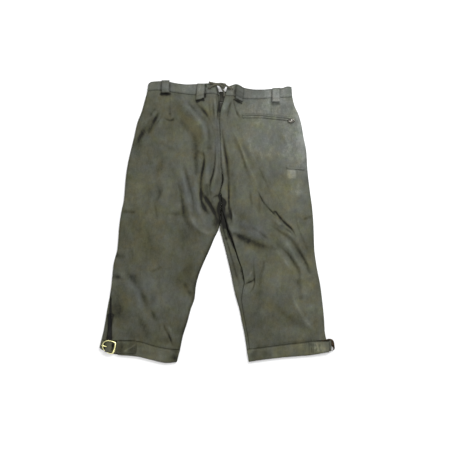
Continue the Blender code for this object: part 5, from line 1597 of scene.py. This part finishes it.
def build_belt_loop(name, half, x, y, length, turn, slopes, lighter):
    """A strap that stands off the waistband between its two sewn ends."""
    def top_at(xs, ys, a, b):
        """share is 0 in its middle and 0.5 at its ends."""
        seat = np.max([seat_height(half, xs, ys + shift) for shift in (-3, 0, 3)], axis=0)
        seat = seat.max(axis=1, keepdims=True)
        share = np.abs(b) / length
        arch = smooth_step((0.33 - share) / 0.12) * (1.15 - 1.6 * share ** 2)
        ends = np.where(b < 0, LOOP_LOWER_RISE, LOOP_UPPER_RISE) * smooth_step((share - 0.30) / 0.1)
        return seat + LAY_GAP + LOOP_WALL + LOOP_ARCH * arch + ends + relief(xs, ys, 0.5)
    loop = Patch(x, y, LOOP_WIDTH, length, turn, slopes)
    made = loop.build(name, LOOP_WALL, top_at, lighter, WAIST_COOL)
    tacked = loop.rectangle(LOOP_TACK_IN)
    add_stitches(f"stitches_{name}", loop.rectangle(STITCH_IN) + tacked[0:3:2], made)


def build_eyelet(name, x, y):
    outer, inner, height = 0.5 * EYELET_OUTER, 0.5 * EYELET_INNER, EYELET_HEIGHT
    profile = [(outer, 0.0), (outer, 0.45 * height), (outer - 0.25, 0.85 * height),
               (outer - 0.6, height), (inner + 0.35, height), (inner + 0.1, 0.8 * height),
               (inner, 0.5 * height), (inner, -1.5), (0.01, -1.5)]
    turned(name, profile, (x, y, WAISTBAND_TOP + 0.3), "dark_metal")


def build_knot():
    """The knot that the two laces are tied in, as a trefoil."""
    t = np.linspace(0.0, 2 * np.pi, 91)[:-1]
    lobes = np.c_[np.sin(t) + 2 * np.sin(2 * t), np.cos(t) - 2 * np.cos(2 * t),
                  -0.8 * np.sin(3 * t)]
    radius = 0.5 * KNOT_STRAND
    return sweep("lace_knot", KNOT_LOBE * lobes + KNOT_PLACE, radius, radius, "lace_leather",
                 cyclic=True, sides=12, replaces=())


def build_lace(side):
    route = flowing_line(LACES[side], 1.6)
    curve = bpy.data.curves.new(f"lace_{side}", "CURVE")
    curve.dimensions = "3D"
    curve.bevel_depth = 0.5 * LACE_DIAMETER * MM
    curve.bevel_resolution = 5
    curve.use_fill_caps = True
    spline = curve.splines.new("POLY")
    spline.points.add(len(route) - 1)
    for spot, point in zip(spline.points, route):
        spot.co = (*(Vector(point) * MM), 1.0)
    spline.use_smooth = True
    made = add_object(f"thong_{side}", curve, "lace_leather", replaces=[f"lace_{side}"])
    pieces = [build_knot()] if side == "left" else []


# ---------------------------------------------------------------- pockets and button

def build_welt(name, line, low, high):
    """A narrow strip beside a pocket's slit, from low to high off its line."""
    line = flowing_line(line, 2.5)
    rows = []
    for offset in low + spaced(high - low):
        x, y = line[:, 0], line[:, 1] + offset
        seat = highest_near(x, y, 4) + LAY_GAP + WELT_WALL
        proud = bulge(min(offset - low, high - offset), 0.35, 0.0, 0.5)
        rows.append(np.c_[x, y, seat + proud + relief(x, y, 0.3)])
    grid = np.array(rows)
    sheet(name, grid, tone_of(grid[..., 0], grid[..., 1]), WELT_WALL)


def build_pockets(back):
    inner, outer, half_knife = 0.5 * WELT_SLIT, 0.5 * WELT_SLIT + WELT_WIDTH, 0.5 * KNIFE_WELT
    build_welt("pocket_welt_upper", POCKET_SLIT, inner, outer)
    build_welt("pocket_welt_lower", POCKET_SLIT, -outer, -inner)
    build_welt("knife_pocket_welt", KNIFE_SLIT, -half_knife, half_knife)
    out = outer + 2.0
    lines = [beside(POCKET_SLIT, out), beside(POCKET_SLIT, -out)]
    lines += [[(x + dx, y - out), (x + dx, y + out)]
              for (x, y), dx in ((POCKET_SLIT[0], -2.4), (POCKET_SLIT[-1], 2.4))]
    lines += [beside(KNIFE_SLIT, -half_knife - 1.8)]
    add_stitches("stitches_pockets", lines, back)

    x, y = BUTTON_PLACE
    z = float(highest_near(x, y, 9)) + LAY_GAP + WELT_WALL + 0.4
    size = 0.5 * BUTTON_DIAMETER, BUTTON_HEIGHT
    turned("pocket_button", BUTTON_RIM, (x, y, z), "dark_metal", *size, squash=BUTTON_SQUASH)
    turned("pocket_button_stud", BUTTON_STUD, (x, y + 0.5, z), "nickel", *size,
           squash=BUTTON_SQUASH, replaces=())


# ------------------------------------------------------------------------ panel seams

def sew_panels(halves, backs, fronts):
    left, right = halves["left"], halves["right"]
    seam = [(6.6, 285.0)] + [(x, y) for y, x in CENTRE_SEAM if 60.0 < y < 290.0]
    down = flowing_line(seam, 6.0)
    lines = [down - (offset, 0.0) for offset in CENTRE_LINES]
    lines.append(beside(DARTS["left"], SECOND_LINE))
    add_stitches("stitches_back_left", lines, backs["left"])

    y = np.linspace(*INSEAM_SPAN, 30)
    back_edge = right.front_inner_x(y) + right.inseam_back(y)
    lines = [beside(DARTS["right"], SECOND_LINE), np.c_[back_edge + STITCH_IN, y]]
    add_stitches("stitches_back_right", lines, backs["right"])

    lines = [INSEAM_STITCHES, beside(INSEAM_STITCHES, SECOND_LINE)]
    add_stitches("stitches_inseam_right", lines, fronts["right"])
    y = np.linspace(*VENT_SPAN, 24)
    edge = left.outer_x(y) + left.vent_back(y)
    add_stitches("stitches_vent_left", [np.c_[edge + OPEN_EDGE_IN, y]], backs["left"])
    y = np.linspace(*CENTRE_SPAN, 40)
    for side, half in halves.items():
        x = half.front_inner_x(y) + half.sign * OPEN_EDGE_IN
        add_stitches(f"stitches_front_{side}", [np.c_[x, y]], fronts[side], upper=False)


def main():
    build_camera()
    for side in ("left", "right"):
        build_lace(side)
    halves, backs, fronts = {}, {}, {}
    for side in ("left", "right"):
        half = halves[side] = Half(side)
        backs[side], fronts[side] = build_back(half), build_front(half)
        build_waistband(half)
        build_knee_band(half)
        build_tab(side)
        build_buckle(side)
        for name, *place in BELT_LOOPS[side]:
            build_belt_loop(name, half, *place)
        build_eyelet(f"eyelet_{side}", *LACES[side][0][:2])
    build_left_strap()
    build_right_strap()
    build_pockets(backs["right"])
    sew_panels(halves, backs, fronts)
    build_stage()


main()
